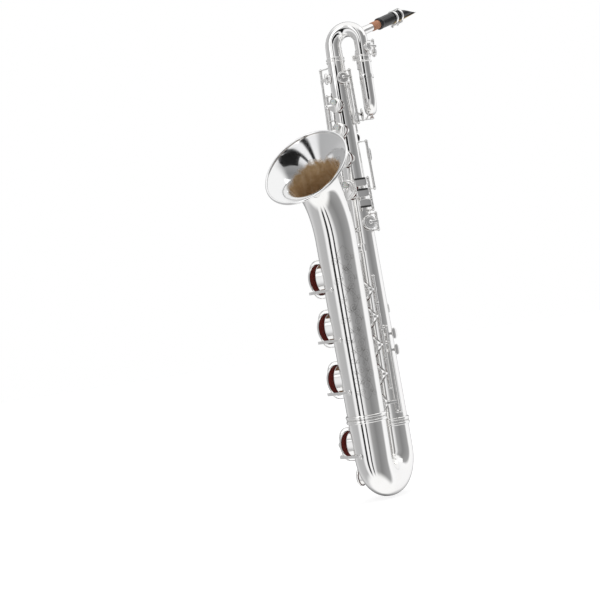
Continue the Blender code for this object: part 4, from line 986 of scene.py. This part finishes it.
def add_post(piece, head, axis, foot_lift=0.0):
    """A turned pillar: flange, waist and ball head."""
    foot, outward = ground(head)
    height = (head - foot).length
    place = frame_at(foot, outward)
    piece.lathe([(0, -0.0010), (0.0036, -0.0010), (0.0036, foot_lift + 0.0004),
                 (0.0030, foot_lift + 0.0009),
                 (0.0022, foot_lift + 0.0014), (0.0017, foot_lift + 0.0024), (0.0016, height * 0.5),
                 (0.0018, height - HEAD_R * 0.9), (0.0025, height - HEAD_R * 0.75), (0, height)], place)
    piece.ball(head, HEAD_R, HEAD_T / 2 / HEAD_R * 0.98, axis)


def add_screw(piece, head, axis, finish="steel"):
    """The end of a pivot screw, standing out of a post's ball."""
    base = head + axis * (HEAD_T / 2 - 0.0006)
    piece.stud(frame_at(base, axis), 2.0, 1.6, 0, 0.9, 1.2, 1.2, SCREW_SEGMENTS, finish)


GROUPS = {
    "lower_stack_rib": STACK_KEYS["lower"], "upper_stack_rib": STACK_KEYS["upper"],
    "bell_key_rib": BELL_KEYS, "side_key_rib": ("side_bb_key",), "body_posts": (
        "low_eb_key", "low_c_touch", "gsharp_key", "low_bb_touch", "low_b_touch", "gsharp_touch",
        "low_a_thumb_lever", "high_e_key", "palm_d_key", "octave_thumb_lever", "octave_key"),
    "bow_posts": ("low_csharp_key",), "arch_posts": ("high_f_key",),
}


def build_posts():
    for group, names in GROUPS.items():
        piece = Piece(group + "_work", HORN, "key")
        heads = []
        for name in names:
            key = KEYS[name]
            for end, outward in zip(hinge_ends(key), (-key.axis, key.axis)):
                if all((end - other).length > 0.003 for other in heads):
                    add_post(piece, end, key.axis, 0.0011 if group.endswith("rib") else 0.0)
                    add_screw(piece, end, outward)
                    heads.append(end)
        if group.endswith("rib"):
            axis = KEYS[names[0]].axis
            heads.sort(key=lambda head: head.dot(axis))
            for begin, finish in zip(heads,
                                     heads[1:]) if group == "bell_key_rib" else [(heads[0], heads[-1])]:
                low, outward = ground(begin - axis * 0.006)
                high, _ = ground(finish + axis * 0.006)
                lift = outward * 0.0009
                piece.strap([low + lift, high + lift], (0.0066, 0.0066), 0.0011, outward.cross(axis),
                            square=0.25)
            piece.done([group], 0.0)
        else:
            piece.done(())


def build_stack_rods():
    for stack, names in STACK_KEYS.items():
        axis = KEYS[names[0]].axis
        ends = [head for name in names for head in hinge_ends(KEYS[name])]
        ends.sort(key=lambda head: head.dot(axis))
        piece = Piece(f"{stack}_stack_rod_steel", HORN, "steel")
        reach = axis * (HEAD_T / 2 + 0.001)
        piece.rod(ends[0] - reach, ends[-1] + reach, 0.0015, 20)
        piece.done([f"{stack}_stack_rod"])


def build_springs():
    """A blued needle spring from one post of each stack and bell key, and of four closed keys."""
    piece = Piece("needle_springs", HORN, "spring")
    for key in KEYS.values():
        if key.name not in OPEN_KEYS + ("low_csharp_key", "low_eb_key", "gsharp_key", "palm_d_key"):
            continue
        head = hinge_ends(key)[0]
        foot, outward = ground(head)
        start = foot.lerp(head, 0.52) - key.axis * 0.0020
        reach = min(0.024, (key.high - key.low) * 0.7)
        end = start + key.axis * reach + outward * 0.0012
        piece.rod(start, end, 0.00038, 8, 0.0001)
    piece.done()


def build_loop_brace():
    """The strut that ties the two legs of the loop tube together."""
    piece = Piece("loop_brace", HORN, "key")
    feet = ((at(LOOP_X, LOOP_Y, LOOP_BRACE_Z), LOOP_R_START), (at(RETURN_X, RETURN_Y, LOOP_BRACE_Z),
                                                               LOOP_R_END))
    across = (feet[1][0] - feet[0][0]).normalized()
    ends = []
    for (centre, radius), side in zip(feet, (across, -across)):
        band = radius + 0.0002
        piece.lathe([(band, -0.0042), (band + 0.0009, -0.0040), (band + 0.0013, 0.0),
                     (band + 0.0009, 0.0040),
                     (band, 0.0042)], frame_at(centre, (0, 0, 1)), 64, ring=True)
        ends.append(centre + side * band)
    piece.strap([ends[0], (ends[0] + ends[1]) / 2, ends[1]], (0.0060, 0.0060), 0.0034, Z)
    piece.ball((ends[0] + ends[1]) / 2, 0.0036, 0.8, across)
    piece.done()


# ---- bell key guards ----------------------------------------------------------------
def build_guard(key):
    node = "guard_" + key.name.replace("_key", "")
    piece = Piece(node + "_work", HORN, "key")
    along = (key.closed.translation - BELL_FOOT).dot(BELL_AXIS)
    place = on_bell(-90, along)
    tube_r, r = bell_radius(along - BELL_RING_Z), key.cup_r
    reach = r + 0.0065
    crest = CHIMNEY + CUP_T + (r + BELL_OUT) * math.sin(key.travel) + GUARD_CLEAR
    shoulder, shoulder_height = reach * 0.66, crest * 0.93
    arch = [(0, -reach, 0.001), (0, -reach * 0.97, crest * 0.60), (0, -shoulder, shoulder_height),
            (0, 0, crest + 0.001), (0, shoulder, shoulder_height), (0, reach * 0.97, crest * 0.60),
            (0, reach, 0.001)]
    piece.strap([place @ Vector(p) for p in arch], (0.0062, 0.0062), 0.0018, place.col[0].to_3d(), 60, 0.6)
    angle = math.radians(GUARD_FOOT_TURN)
    stand = tube_r + 0.001
    half = math.sqrt(r ** 2 - shoulder ** 2)            # half of the cup's width at the shoulder
    side = [(0, shoulder_height + 0.0004), (half * 0.6, shoulder_height), (half * 1.2, crest * 0.84),
            (half * 1.6, crest * 0.45), (math.sin(angle) * stand, math.cos(angle) * stand - tube_r)]
    branch = [(x, -shoulder, z) for x, z in side]
    piece.strap([place @ Vector(p) for p in branch], (0.0062, 0.0062), 0.0018, place.col[1].to_3d(), 48,
                0.6)
    piece.lathe([(0, crest - 0.0022), (0.0052, crest - 0.0022), (0.0060, crest - 0.0014),
                 (0.0060, crest + 0.0026),
                 (0.0054, crest + 0.0034), (0.0036, crest + 0.0037), (0, crest + 0.0037)], place, 32)
    piece.stud(place @ Matrix.Translation((0, 0, crest)), 2.1, 1.6, 3, 5.2, 5.6, 5.6, SCREW_SEGMENTS)
    feet = [place @ Matrix.Translation((0, s, 0)) for s in (-reach, reach)]
    feet.append(place @ Matrix.Translation((0, -shoulder, -tube_r)) @ Matrix.Rotation(angle, 4, "Y")
                @ Matrix.Translation((0, 0, tube_r)))
    for foot in feet:
        piece.stud(foot, 5.5, 4.7, 0.3, 1.4, 2.1, 2.3)
        piece.stud(foot, 2.6, 1.9, 2, 3.4, 4.1, 4.3, SCREW_SEGMENTS)
    piece.done([node])
    cup_top = (place.inverted() @ (key.cup @ Vector((0, 0, CUP_T + 0.0040)))).z
    bumper = Piece(node + "_felt", HORN, "felt")
    bumper.lathe([(0, cup_top), (0.0042, cup_top), (0.0048, cup_top + 0.0006), (0.0048, crest - 0.0020),
                  (0, crest - 0.0020)], place, 28)
    bumper.done()


# ---- neck and mouthpiece ------------------------------------------------------------
def build_neck():
    neck = Piece("neck_plate", "neck", "plate")
    side = (NECK_AIM.y, -NECK_AIM.x, 0)
    hollow_tube(neck, NECK_LINE, taper(NECK_R_START, NECK_R_END, NECK_LINE.length), side, 64)
    collar_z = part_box("neck_receiver")[1].z + GAP
    collar = frame_at(Vector((at(RETURN_X, RETURN_Y, 0).x, at(RETURN_X, RETURN_Y, 0).y, collar_z)),
                      (0, 0, 1))
    neck.lathe(mm((10.4, 0), (12.9, 0), (13.4, 0.6), (13.4, 1.6), (12.6, 2.4), (13.4, 3), (13, 4),
                  (11.2, 4.6), (10.4, 4.6)), collar, 64, ring=True)
    neck.done(["neck"])

    receiver = Piece("neck_receiver_plate", HORN, "plate")
    low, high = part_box("neck_receiver")
    height = high.z - low.z
    receiver.lathe([(0.0119, 0), (0.0138, 0), (0.0144, 0.0008), (0.0144, 0.0028), (0.0137, 0.0036),
                    (0.0137, height - 0.006),
                    (0.0144, height - 0.0052), (0.0144, height - 0.0010), (0.0138, height),
                    (0.0119, height)],
                   frame_at(at(RETURN_X, RETURN_Y, low.z - HOME.z), (0, 0, 1)), 64, ring=True)
    lug_z = middle("neck_clamp_screw").z
    hub = Vector((at(RETURN_X, 0, 0).x, at(0, RETURN_Y, 0).y, lug_z))
    for y in (-0.0030, 0.0030):
        receiver.strap([hub + Vector((-0.0125, y, 0)), hub + Vector((-0.0222, y, 0))], (0.0118, 0.0118),
                       0.0036, Z, square=0.4)
    receiver.done(["neck_receiver"])

    screw = Piece("neck_clamp_screw_work", HORN, "key")
    start, end = hub + Vector((-0.0185, -0.0075, 0)), hub + Vector((-0.0185, 0.0140, 0))
    screw.rod(start, end, 0.0017)
    screw.lathe(mm((0, 0), (3, 0), (3.4, 0.6), (3.4, 1.8), (2.8, 2.4), (0, 2.6)),
                frame_at(hub + Vector((-0.0185, 0.0052, 0)), (0, 1, 0)), 28)
    screw.strap([end, end + Vector((0, 0.003, 0)), end + Vector((0, 0.0085, 0))], (0.0070, 0.0100), 0.0022,
                Z, square=0.7)
    screw.done(["neck_clamp_screw"])


def mouth_frame():
    """On the mouthpiece's axis at its open end: Z towards the tip, Y up, reed side down."""
    origin = NECK_LINE.points[-1] - NECK_AIM * 0.024
    up = Z - NECK_AIM * NECK_AIM.z
    return frame_at(origin, NECK_AIM, up.cross(NECK_AIM))


def build_mouthpiece():
    place = mouth_frame()
    full = MOUTHPIECE_LENGTH
    stations = [(0.0, 0.0108, 1, -1), (0.0003, 0.0128, 1, -1), (0.0014, 0.0137, 1, -1),
                (0.0085, 0.0138, 1, -1),
                (0.0098, 0.0134, 1, -1), (0.0112, 0.0133, 1, -1), (0.030, 0.0134, 1, -1),
                (0.0430, MOUTH_R, 1, -1),
                (0.0445, MOUTH_R, 1, TABLE_Y), (0.060, 0.0131, 1, TABLE_Y), (0.072, 0.0126, 1, TABLE_Y)]
    beak = [(0.074, 0.0118), (0.078, 0.0100), (0.085, 0.0066), (0.093, 0.0024), (0.101, -0.0020),
            (0.108, -0.0056),
            (0.114, -0.0080), (0.1172, -0.0090), (full, -0.0096)]
    stations += [(d, 0.0126 - 0.0008 * (d - 0.072) / (full - 0.072), top, TABLE_Y) for d, top in beak]
    loops = []
    for distance, radius, top, bottom in stations:
        loop = []
        for angle in circle(MOUTH_SEGMENTS, 0.5):
            x, y = radius * math.cos(angle), radius * math.sin(angle)
            crown = top - 0.0016 * (x / radius) ** 2 if top < 1 else top
            loop.append(place @ Vector((x, max(min(y, crown), bottom), distance)))
        loops.append(loop)
    body = Piece("mouthpiece_ebonite_body", "mouthpiece", "ebonite")
    bore = [[place @ Vector((r * math.cos(a), r * math.sin(a), d)) for a in circle(MOUTH_SEGMENTS, 0.5)]
            for r, d in ((0.0112, 0.0), (0.0110, 0.030), (0.0080, 0.036))]
    body.skin(bore[::-1] + loops)
    body.skin([bore[-1], [place @ Vector((0, 0, 0.036))]])
    body.skin([loops[-1], [place @ Vector((0, (TABLE_Y - 0.0096) / 2, full))]])
    bmesh.ops.remove_doubles(body.work, verts=body.work.verts[:], dist=0.000002)
    bmesh.ops.recalc_face_normals(body.work, faces=body.work.faces[:])
    body.done(["mouthpiece"], sharp=50)

    reed = Piece("reed_cane_blade", "mouthpiece", "cane")
    rows = []
    for share in range(13):
        d = 0.047 + (full - 0.001 - 0.047) * share / 12
        half = 0.0070 + 0.0014 * share / 12
        thick = 0.0028 if d < 0.078 else 0.0028 - 0.0025 * ((d - 0.078) / (full - 0.079)) ** 0.8
        top = TABLE_Y - GAP
        back = [(half * math.cos(a), top - thick * (0.35 + 0.65 * math.sin(a) ** 0.7))
                for a in (math.pi * k / 10 for k in range(11))]
        rows.append([place @ Vector((x, y, d)) for x, y in [(half, top)] + back + [(-half, top)]])
    reed.skin(rows, caps=True)
    reed.done(["reed"], sharp=50)

    ligature = Piece("ligature_bands", "mouthpiece", "key")
    for d in (0.053, 0.071):
        ligature.lathe(mm((15.2, -3), (15.7, -3.1), (16.1, -2.6), (16.2, 0), (16.1, 2.6), (15.7, 3.1),
                          (15.2, 3)), place @ Matrix.Translation((0, 0, d)), 72, ring=True)
        screw = place @ Vector((0, -0.0168, d))
        x = place.col[0].to_3d()
        ligature.rod(screw - x * 0.0040, screw + x * 0.0110, 0.0019)
        ligature.ball(screw - x * 0.0030, 0.0028, 1.1, x)
        head = frame_at(screw + x * 0.0105, x)
        ligature.lathe(mm((0, 0), (1.8, 0), (3, 0.8), (4.2, 1.2), (4.3, 3.6), (3.6, 4.8), (1.2, 5.3),
                          (0, 5.3)), head, 28)
    for x in (-0.0075, 0.0075):
        ligature.strap([place @ Vector((x, 0.0143, d)) for d in (0.052, 0.062, 0.072)], (0.004, 0.004),
                       0.0012, place.col[0].to_3d(), square=0.5)
    ligature.done(["ligature"])

    sleeve = Piece("neck_cork_sleeve", "neck", "cork")
    sleeve.lathe(mm((9.3, -21.6), (9.8, -21.6), (10.3, -20.8), (10.4, -6), (10.4, 17), (10.1, 18),
                    (9.3, 18)), place, 56, ring=True)
    sleeve.done(["neck_cork"])


# ---- fittings -----------------------------------------------------------------------
FRONT, BACK = 0, 180            # degrees round the body tube, from the bell's side
HOOK_Z, STRAP_Z, LYRE_Z = 0.430, 0.615, 0.598
REST_PHI, REST_Z = 152, 0.812
QUARTER = Matrix.Rotation(math.pi / 2, 4, "Y")


def small_screw(piece, place, radius=2.4):
    piece.stud(place, radius, radius * 0.7, 0, 0.8, 1.4, 1.6, SCREW_SEGMENTS)


def build_fittings():
    hook_place = on_body(BACK, HOOK_Z)
    hook = Piece("thumb_hook_work", HORN, "key")
    side = hook_place.col[0].to_3d()
    saddle(hook, HOME, Z, body_radius, BACK, HOOK_Z, 0.0068, 0.019, 0.0024)
    curve = [(0, 0.004, 0.001), (0, 0.004, 0.016), (0, -0.001, 0.026), (0, -0.011, 0.031),
             (0, -0.024, 0.030)]
    hook.strap([hook_place @ Vector(p) for p in curve], (0.013, 0.016), 0.0032, side, 40, 0.5)
    for s in (-0.014, 0.014):
        small_screw(hook, hook_place @ Matrix.Translation((0, s, 0.0026)))
    hook.done(["thumb_hook"])

    rest = Piece("thumb_rest_ebonite", HORN, "roller")
    rest.lathe(mm((0, 0.3), (9.2, 0.3), (9.8, 1.2), (9.8, 3.6), (9, 5), (7, 6), (3.6, 6.5), (0, 6.6)),
               on_body(REST_PHI, REST_Z), 48)
    rest.done(["thumb_rest"])

    strap_place = on_body(BACK, STRAP_Z)
    strap = Piece("strap_ring_work", HORN, "key")
    saddle(strap, HOME, Z, body_radius, BACK, STRAP_Z, 0.0070, 0.016, 0.0030)
    turned = strap_place @ Matrix.Translation((0, 0, STRAP_RING_OUT)) @ QUARTER
    strap.lathe(mm((0, 2.8), (3.4, 2.8), (2.4, 3.6), (1.8, 4.6), (1.9, 6.2), (0, 6.2)),
                strap_place, 28)
    strap.lathe([(STRAP_RING_R + 0.0019 * math.cos(a), 0.0018 * math.sin(a)) for a in circle(14)], turned,
                48, ring=True)
    for s in (-0.0115, 0.0115):
        small_screw(strap, strap_place @ Matrix.Translation((0, s, 0.0031)), 2.0)
    strap.done(["strap_ring"])

    lyre_place = on_body(FRONT, LYRE_Z)
    thumb = Piece("lyre_screw", HORN, "key")
    head = lyre_place @ Matrix.Translation((0.005, 0, 0.0105)) @ QUARTER
    thumb.lathe(mm((0, -1), (1.6, -1), (1.6, 3), (4, 3.5), (4.2, 6.5), (3.4, 7.4), (0, 7.6)), head, 28)
    thumb.done(())
    socket = frame["nodes"]["lyre_socket"]
    socket.data.materials[0] = FINISHES["key"]
    edges = socket.modifiers.new("soft_edges", "BEVEL")
    edges.width, edges.segments, edges.limit_method = 0.0004, 2, "ANGLE"

    build_water_key()


def build_water_key():
    place = loop_low()
    pivot = place @ Vector((0.0125, 0, 0.0052))
    axis = place.col[1].to_3d()
    lever = Piece("water_key_work", "water_key", "key")
    lever.rod(pivot - axis * 0.0041, pivot + axis * 0.0041, 0.0024)
    path = [(0, 0, 0.0072), (0.0060, 0, 0.0076), (0.0125, 0, 0.0066), (0.021, 0, 0.0078),
            (0.030, 0, 0.0060)]
    lever.strap([place @ Vector(p) for p in path], (0.0050, 0.0056), 0.0018, axis, square=0.6)
    lever.lathe(mm((4.4, 5), (5.2, 5), (5.3, 7.2), (4.4, 8), (0, 8.2), (0, 7), (4.4, 6.8)), place, 28)
    tip = place @ Matrix.Translation((0.0320, 0, 0.0058))
    lever.lathe(mm((0, -1), (5, -1), (5.6, 0), (5, 1), (0, 1.3)), tip, 28)
    lever.done(["water_key"])
    plug = Piece("water_key_cork", "water_key", "cork")
    plug.lathe(mm((0, 3.8), (4.2, 3.8), (4.6, 4.2), (4.6, 6.8), (0, 6.8)), place, 28)
    plug.done(())
    held = Piece("water_key_posts", HORN, "key")
    for y in (-0.0065, 0.0065):
        foot, head = place @ Vector((0.0062, y, -0.0038)), place @ Vector((0.0125, y, 0.0052))
        held.rod(foot, head, 0.0014, 16)
        held.ball(head, 0.0027, 0.75, axis)
    held.done(())


# ---- engraving ----------------------------------------------------------------------
def spiral(centre, heading, size, turns, sense):
    """A scroll that winds in from its stem, in (round, up) coordinates."""
    points = []
    for k in range(int(turns * 22) + 1):
        share = k / (turns * 22)
        angle = heading + sense * 2 * math.pi * turns * share
        radius = size * (1 - share) ** 0.85 + 0.0006
        points.append((centre[0] + radius * math.cos(angle), centre[1] + radius * math.sin(angle)))
    return points


def leaf(base, heading, length):
    """A pointed leaf outline."""
    points = []
    for k in range(13):
        share = k / 12
        bulge = math.sin(math.pi * share) * length * 0.26
        points.append((share, bulge))
    points += [(x, -y) for x, y in points[-2::-1]]
    c, s = math.cos(heading), math.sin(heading)
    return [(base[0] + c * x * length - s * y, base[1] + s * x * length + c * y) for x, y in points]


def vine(low, high, sway, waves, phase):
    steps = 90
    return [(sway * math.sin(2 * math.pi * waves * k / steps + phase), low + (high - low) * k / steps)
            for k in range(steps + 1)]


def build_engraving():
    """Scrolls and leaves along a vine on the front of the bell, as thin raised burrs."""
    piece = Piece("bell_engraving", HORN, "engraved")
    low, high, middle_phi = 0.225, 0.560, 42.0
    lines = []
    for phase, sway in ((0.0, 0.016), (math.pi, 0.016)):
        stem = vine(low, high, sway, 3.5, phase)
        lines.append(stem)
        for index in range(4, len(stem) - 4, 6):
            (x0, y0), (x1, y1) = stem[index - 1], stem[index + 1]
            heading = math.atan2(y1 - y0, x1 - x0)
            sense = 1 if (index // 6) % 2 else -1
            away = heading + sense * math.pi / 2
            size = 0.0085 if (index // 6) % 3 else 0.0062
            centre = (stem[index][0] + size * math.cos(away), stem[index][1] + size * math.sin(away))
            lines.append(spiral(centre, away + math.pi, size, 1.6, sense))
            for lean, length in ((0.5, 0.011), (1.1, 0.008)):
                lines.append(leaf(stem[index], heading - sense * lean, length))
    for line in lines:
        engrave(piece, line, middle_phi)
    piece.done()


def engrave(piece, line, middle_phi, width=0.00062, height=0.00008):
    rows = []
    for index, (x, y) in enumerate(line):
        x0, y0 = line[max(index - 1, 0)]
        x1, y1 = line[min(index + 1, len(line) - 1)]
        run = math.hypot(x1 - x0, y1 - y0) or 1.0
        nx, ny = -(y1 - y0) / run * width / 2, (x1 - x0) / run * width / 2
        row = []
        for side, lift in ((-1, -height), (-0.5, height), (0.5, height), (1, -height)):
            px, py = x + nx * side, y + ny * side
            radius = bell_radius(py - BELL_RING_Z)
            row.append(on_bell(middle_phi + math.degrees(px / radius), py, lift).translation)
        rows.append(row)
    piece.skin(rows, caps=True)


# ---- lights, floor and camera -------------------------------------------------------
CAMERA_AZIMUTH, CAMERA_ELEVATION, CAMERA_ROLL = 30.55, -2.36, -8.77
CAMERA_DISTANCE = 2.6
LENS = 68.5
SUBJECT = at(0, 0, 0.5)         # the point of the object that the camera is aimed beside
AIM_RIGHT, AIM_DOWN = -0.15666, 0.06106


def view_directions():
    azimuth, elevation = math.radians(CAMERA_AZIMUTH), math.radians(CAMERA_ELEVATION)
    back = Vector((math.sin(azimuth) * math.cos(elevation), -math.cos(azimuth) * math.cos(elevation),
                   math.sin(elevation)))
    right = Vector((math.cos(azimuth), math.sin(azimuth), 0))
    return back, right, back.cross(right)


def build_camera():
    back, level_right, level_up = view_directions()
    roll = math.radians(CAMERA_ROLL)
    right = level_right * math.cos(roll) + level_up * math.sin(roll)
    up = level_up * math.cos(roll) - level_right * math.sin(roll)
    data = bpy.data.cameras.new("camera")
    data.lens, data.sensor_width = LENS, 36.0
    camera = bpy.data.objects.new("camera", data)
    camera.matrix_world = Matrix((right, up, back)).transposed().to_4x4()
    camera.location = SUBJECT + back * CAMERA_DISTANCE + right * AIM_RIGHT - up * AIM_DOWN
    bpy.context.scene.collection.objects.link(camera)
    bpy.context.scene.camera = camera


# (degrees to the right of the camera, brightness): what the tubes mirror all round
STUDIO_STOPS = (
    (-180, 0.16), (-164, 0.30), (-140, 0.66), (-112, 0.50), (-70, 0.46), (-60, 0.90), (-48, 0.95),
    (-44, 0.01),
    (-36, 0.01), (-33, 0.98), (-21, 0.95), (-18, 0.02), (-13, 0.02), (-10, 0.92), (-2, 0.80), (10, 0.36),
    (40, 0.24), (88, 0.36), (100, 1.0), (140, 0.95), (164, 0.42), (180, 0.16))
CEILING_FADE = (0.62, 0.86)     # how far up or down a reflection looks before it sees only white
WHITE = (1.0, 1.0, 1.0, 1.0)
FLAG_TURN, FLAG_DISTANCE, FLAG_WIDTH = -18.0, 0.50, 0.20
FLAG_LOW, FLAG_HIGH = 0.80, 1.12
FLOOR_R, FLOOR_GAP, FLOOR_GLOW = 40.0, 0.0005, 0.62


def build_world():
    """A white studio with dark slots between the soft boxes, seen only in reflections."""
    world = bpy.data.worlds.new("studio")
    bpy.context.scene.world = world
    world.use_nodes = True
    nodes = Tree(world.node_tree)
    nodes.tree.nodes.clear()
    back, right, _ = view_directions()
    direction = nodes.add("TexCoord").outputs["Generated"]
    sine, cosine = [nodes.add("VectorMath", {0: direction, 1: axis},
                              operation="DOT_PRODUCT").outputs["Value"]
                    for axis in (right, Vector((back.x, back.y, 0)).normalized())]
    angle = nodes.add("Math", {0: sine, 1: cosine}, operation="ARCTAN2").outputs[0]
    turn = nodes.add("MapRange", {"Value": angle, "From Min": -math.pi, "From Max": math.pi})
    ramp = nodes.add("ValToRGB", {"Fac": turn.outputs["Result"]})
    stops = ramp.color_ramp.elements
    stops[0].position, stops[1].position = 0.0, 1.0
    while len(stops) < len(STUDIO_STOPS):
        stops.new(0.5)
    for element, (degrees, value) in zip(stops, STUDIO_STOPS):
        element.position = (degrees + 180) / 360
        element.color = (value, value, value * 1.01, 1)
    height = nodes.add("SeparateXYZ", {0: direction}).outputs["Z"]
    band = nodes.add("Math", {0: height}, operation="ABSOLUTE").outputs[0]
    low, high = CEILING_FADE
    fade = nodes.add("MapRange", {"Value": band, "From Min": low, "From Max": high},
                     interpolation_type="SMOOTHSTEP").outputs["Result"]
    mirrored = nodes.add("Mix", {0: fade, 6: ramp.outputs["Color"], 7: WHITE}, data_type="RGBA").outputs[2]
    studio = nodes.add("Background", {"Color": mirrored}).outputs[0]
    plain = nodes.add("Background", {"Color": WHITE}).outputs[0]
    seen = nodes.add("LightPath").outputs["Is Camera Ray"]
    shown = nodes.add("MixShader", {0: seen, 1: studio, 2: plain}).outputs[0]
    nodes.add("OutputWorld", {"Surface": shown})


def build_lights():
    """Two large soft lights from above, left and right of the camera."""
    back, right, _ = view_directions()
    soft = (
        ("soft_left", back * 1.4 - right * 1.6 + Z * 1.8, 1.6, 5.0),
        ("soft_right", back * 0.4 + right * 2.0 + Z * 2.2, 1.4, 4.0),
    )
    for name, direction, size, power in soft:
        data = bpy.data.lights.new(name, "AREA")
        data.size, data.energy = size, power
        light = bpy.data.objects.new(name, data)
        light.location = SUBJECT + direction
        light.rotation_mode = "QUATERNION"
        light.rotation_quaternion = direction.to_track_quat("Z", "Y")
        bpy.context.scene.collection.objects.link(light)


def stage_piece(name, mesh, material, **visible):
    """A thing beside the object: a card or the floor."""
    mesh.materials.append(material)
    thing = bpy.data.objects.new(name, mesh)
    for key, value in visible.items():
        setattr(thing, key, value)
    bpy.context.scene.collection.objects.link(thing)
    thing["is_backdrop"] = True


def flat_paint(name, tone, rough):
    """A matt grey material, with its tree and shader."""
    paint = bpy.data.materials.new(name)
    paint.use_nodes = True
    shader = paint.node_tree.nodes["Principled BSDF"]
    shader.inputs["Base Color"].default_value = (tone, tone, tone, 1)
    shader.inputs["Roughness"].default_value = rough
    return paint, Tree(paint.node_tree), shader


def build_flag():
    """A black card beside the top of the instrument, seen only in the plate."""
    back, right, _ = view_directions()
    turn = math.radians(FLAG_TURN)
    forward = Vector((back.x, back.y, 0)).normalized()
    toward = forward * math.cos(turn) + right * math.sin(turn)
    across = toward.cross(Z)
    centre = at(LOOP_X / 2, LOOP_Y, 0) + toward * FLAG_DISTANCE
    corners = [centre + across * side * FLAG_WIDTH / 2 + Vector((0, 0, height))
               for side, height in ((-1, FLAG_LOW), (1, FLAG_LOW), (1, FLAG_HIGH), (-1, FLAG_HIGH))]
    mesh = bpy.data.meshes.new("black_flag")
    mesh.from_pydata(corners, [], [(0, 1, 2, 3)])
    stage_piece("black_flag", mesh, flat_paint("flag_velvet", 0.004, 1.0)[0], visible_camera=False,
                visible_diffuse=False, visible_shadow=False)


def build_floor():
    """A pale floor. The plate doesn't mirror it, but the studio below it."""
    work = bmesh.new()
    bmesh.ops.create_circle(work, cap_ends=True, radius=FLOOR_R, segments=96)
    mesh = bpy.data.meshes.new("floor")
    work.to_mesh(mesh)
    work.free()
    paint, nodes, shader = flat_paint("floor_paint", 0.62, 0.9)
    shader.inputs["Emission Color"].default_value = WHITE
    seen = nodes.add("LightPath").outputs["Is Camera Ray"]
    lift = nodes.add("Math", {1: FLOOR_GLOW, 0: seen}, operation="MULTIPLY").outputs[0]
    nodes.set(shader, "Emission Strength", lift)
    stage_piece("floor", mesh, paint, location=(0, 0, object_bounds()[0].z - FLOOR_GAP), visible_glossy=False)


# ---- build --------------------------------------------------------------------------
def build_rollers():
    """The black rollers between the left hand's table keys."""
    for name, ends in (("low_bb_touch", (1,)), ("low_b_touch", (-1,)), ("gsharp_touch", (-1,))):
        key = KEYS[name]
        piece = Piece(name + "_roller", name, "roller")
        for share in ends:
            centre = key.touch @ Vector((0, share * (key.touch_y - 0.0022), 0.0002))
            x = key.touch.col[0].to_3d()
            half = key.touch_x * 0.86
            piece.lathe([(0, -half), (0.0014, -half), (0.0021, -half + 0.0008), (0.0023, 0),
                         (0.0021, half - 0.0008),
                         (0.0014, half), (0, half)], frame_at(centre, x), 24)
        piece.done(())


build_tubes()
build_bell()
beaded_ring("body_bow_ring_plate", "body_bow_ring", at(0, 0, BODY_RING_Z), Z, BODY_R_LOW + 2 * GAP)
beaded_ring("bell_bow_ring_plate", "bell_bow_ring", BELL_FOOT + BELL_AXIS * BELL_RING_Z, BELL_AXIS,
            BELL_R_LOW + 2 * GAP)
build_brace()
for key in KEYS.values():
    build_key(key)
build_rollers()
build_posts()
build_stack_rods()
build_springs()
build_loop_brace()
for name in BELL_KEYS:
    build_guard(KEYS[name])
build_neck()
build_mouthpiece()
build_fittings()
build_engraving()
build_camera()
build_world()
build_lights()
build_flag()
build_floor()
bpy.context.scene.view_settings.view_transform = "Standard"
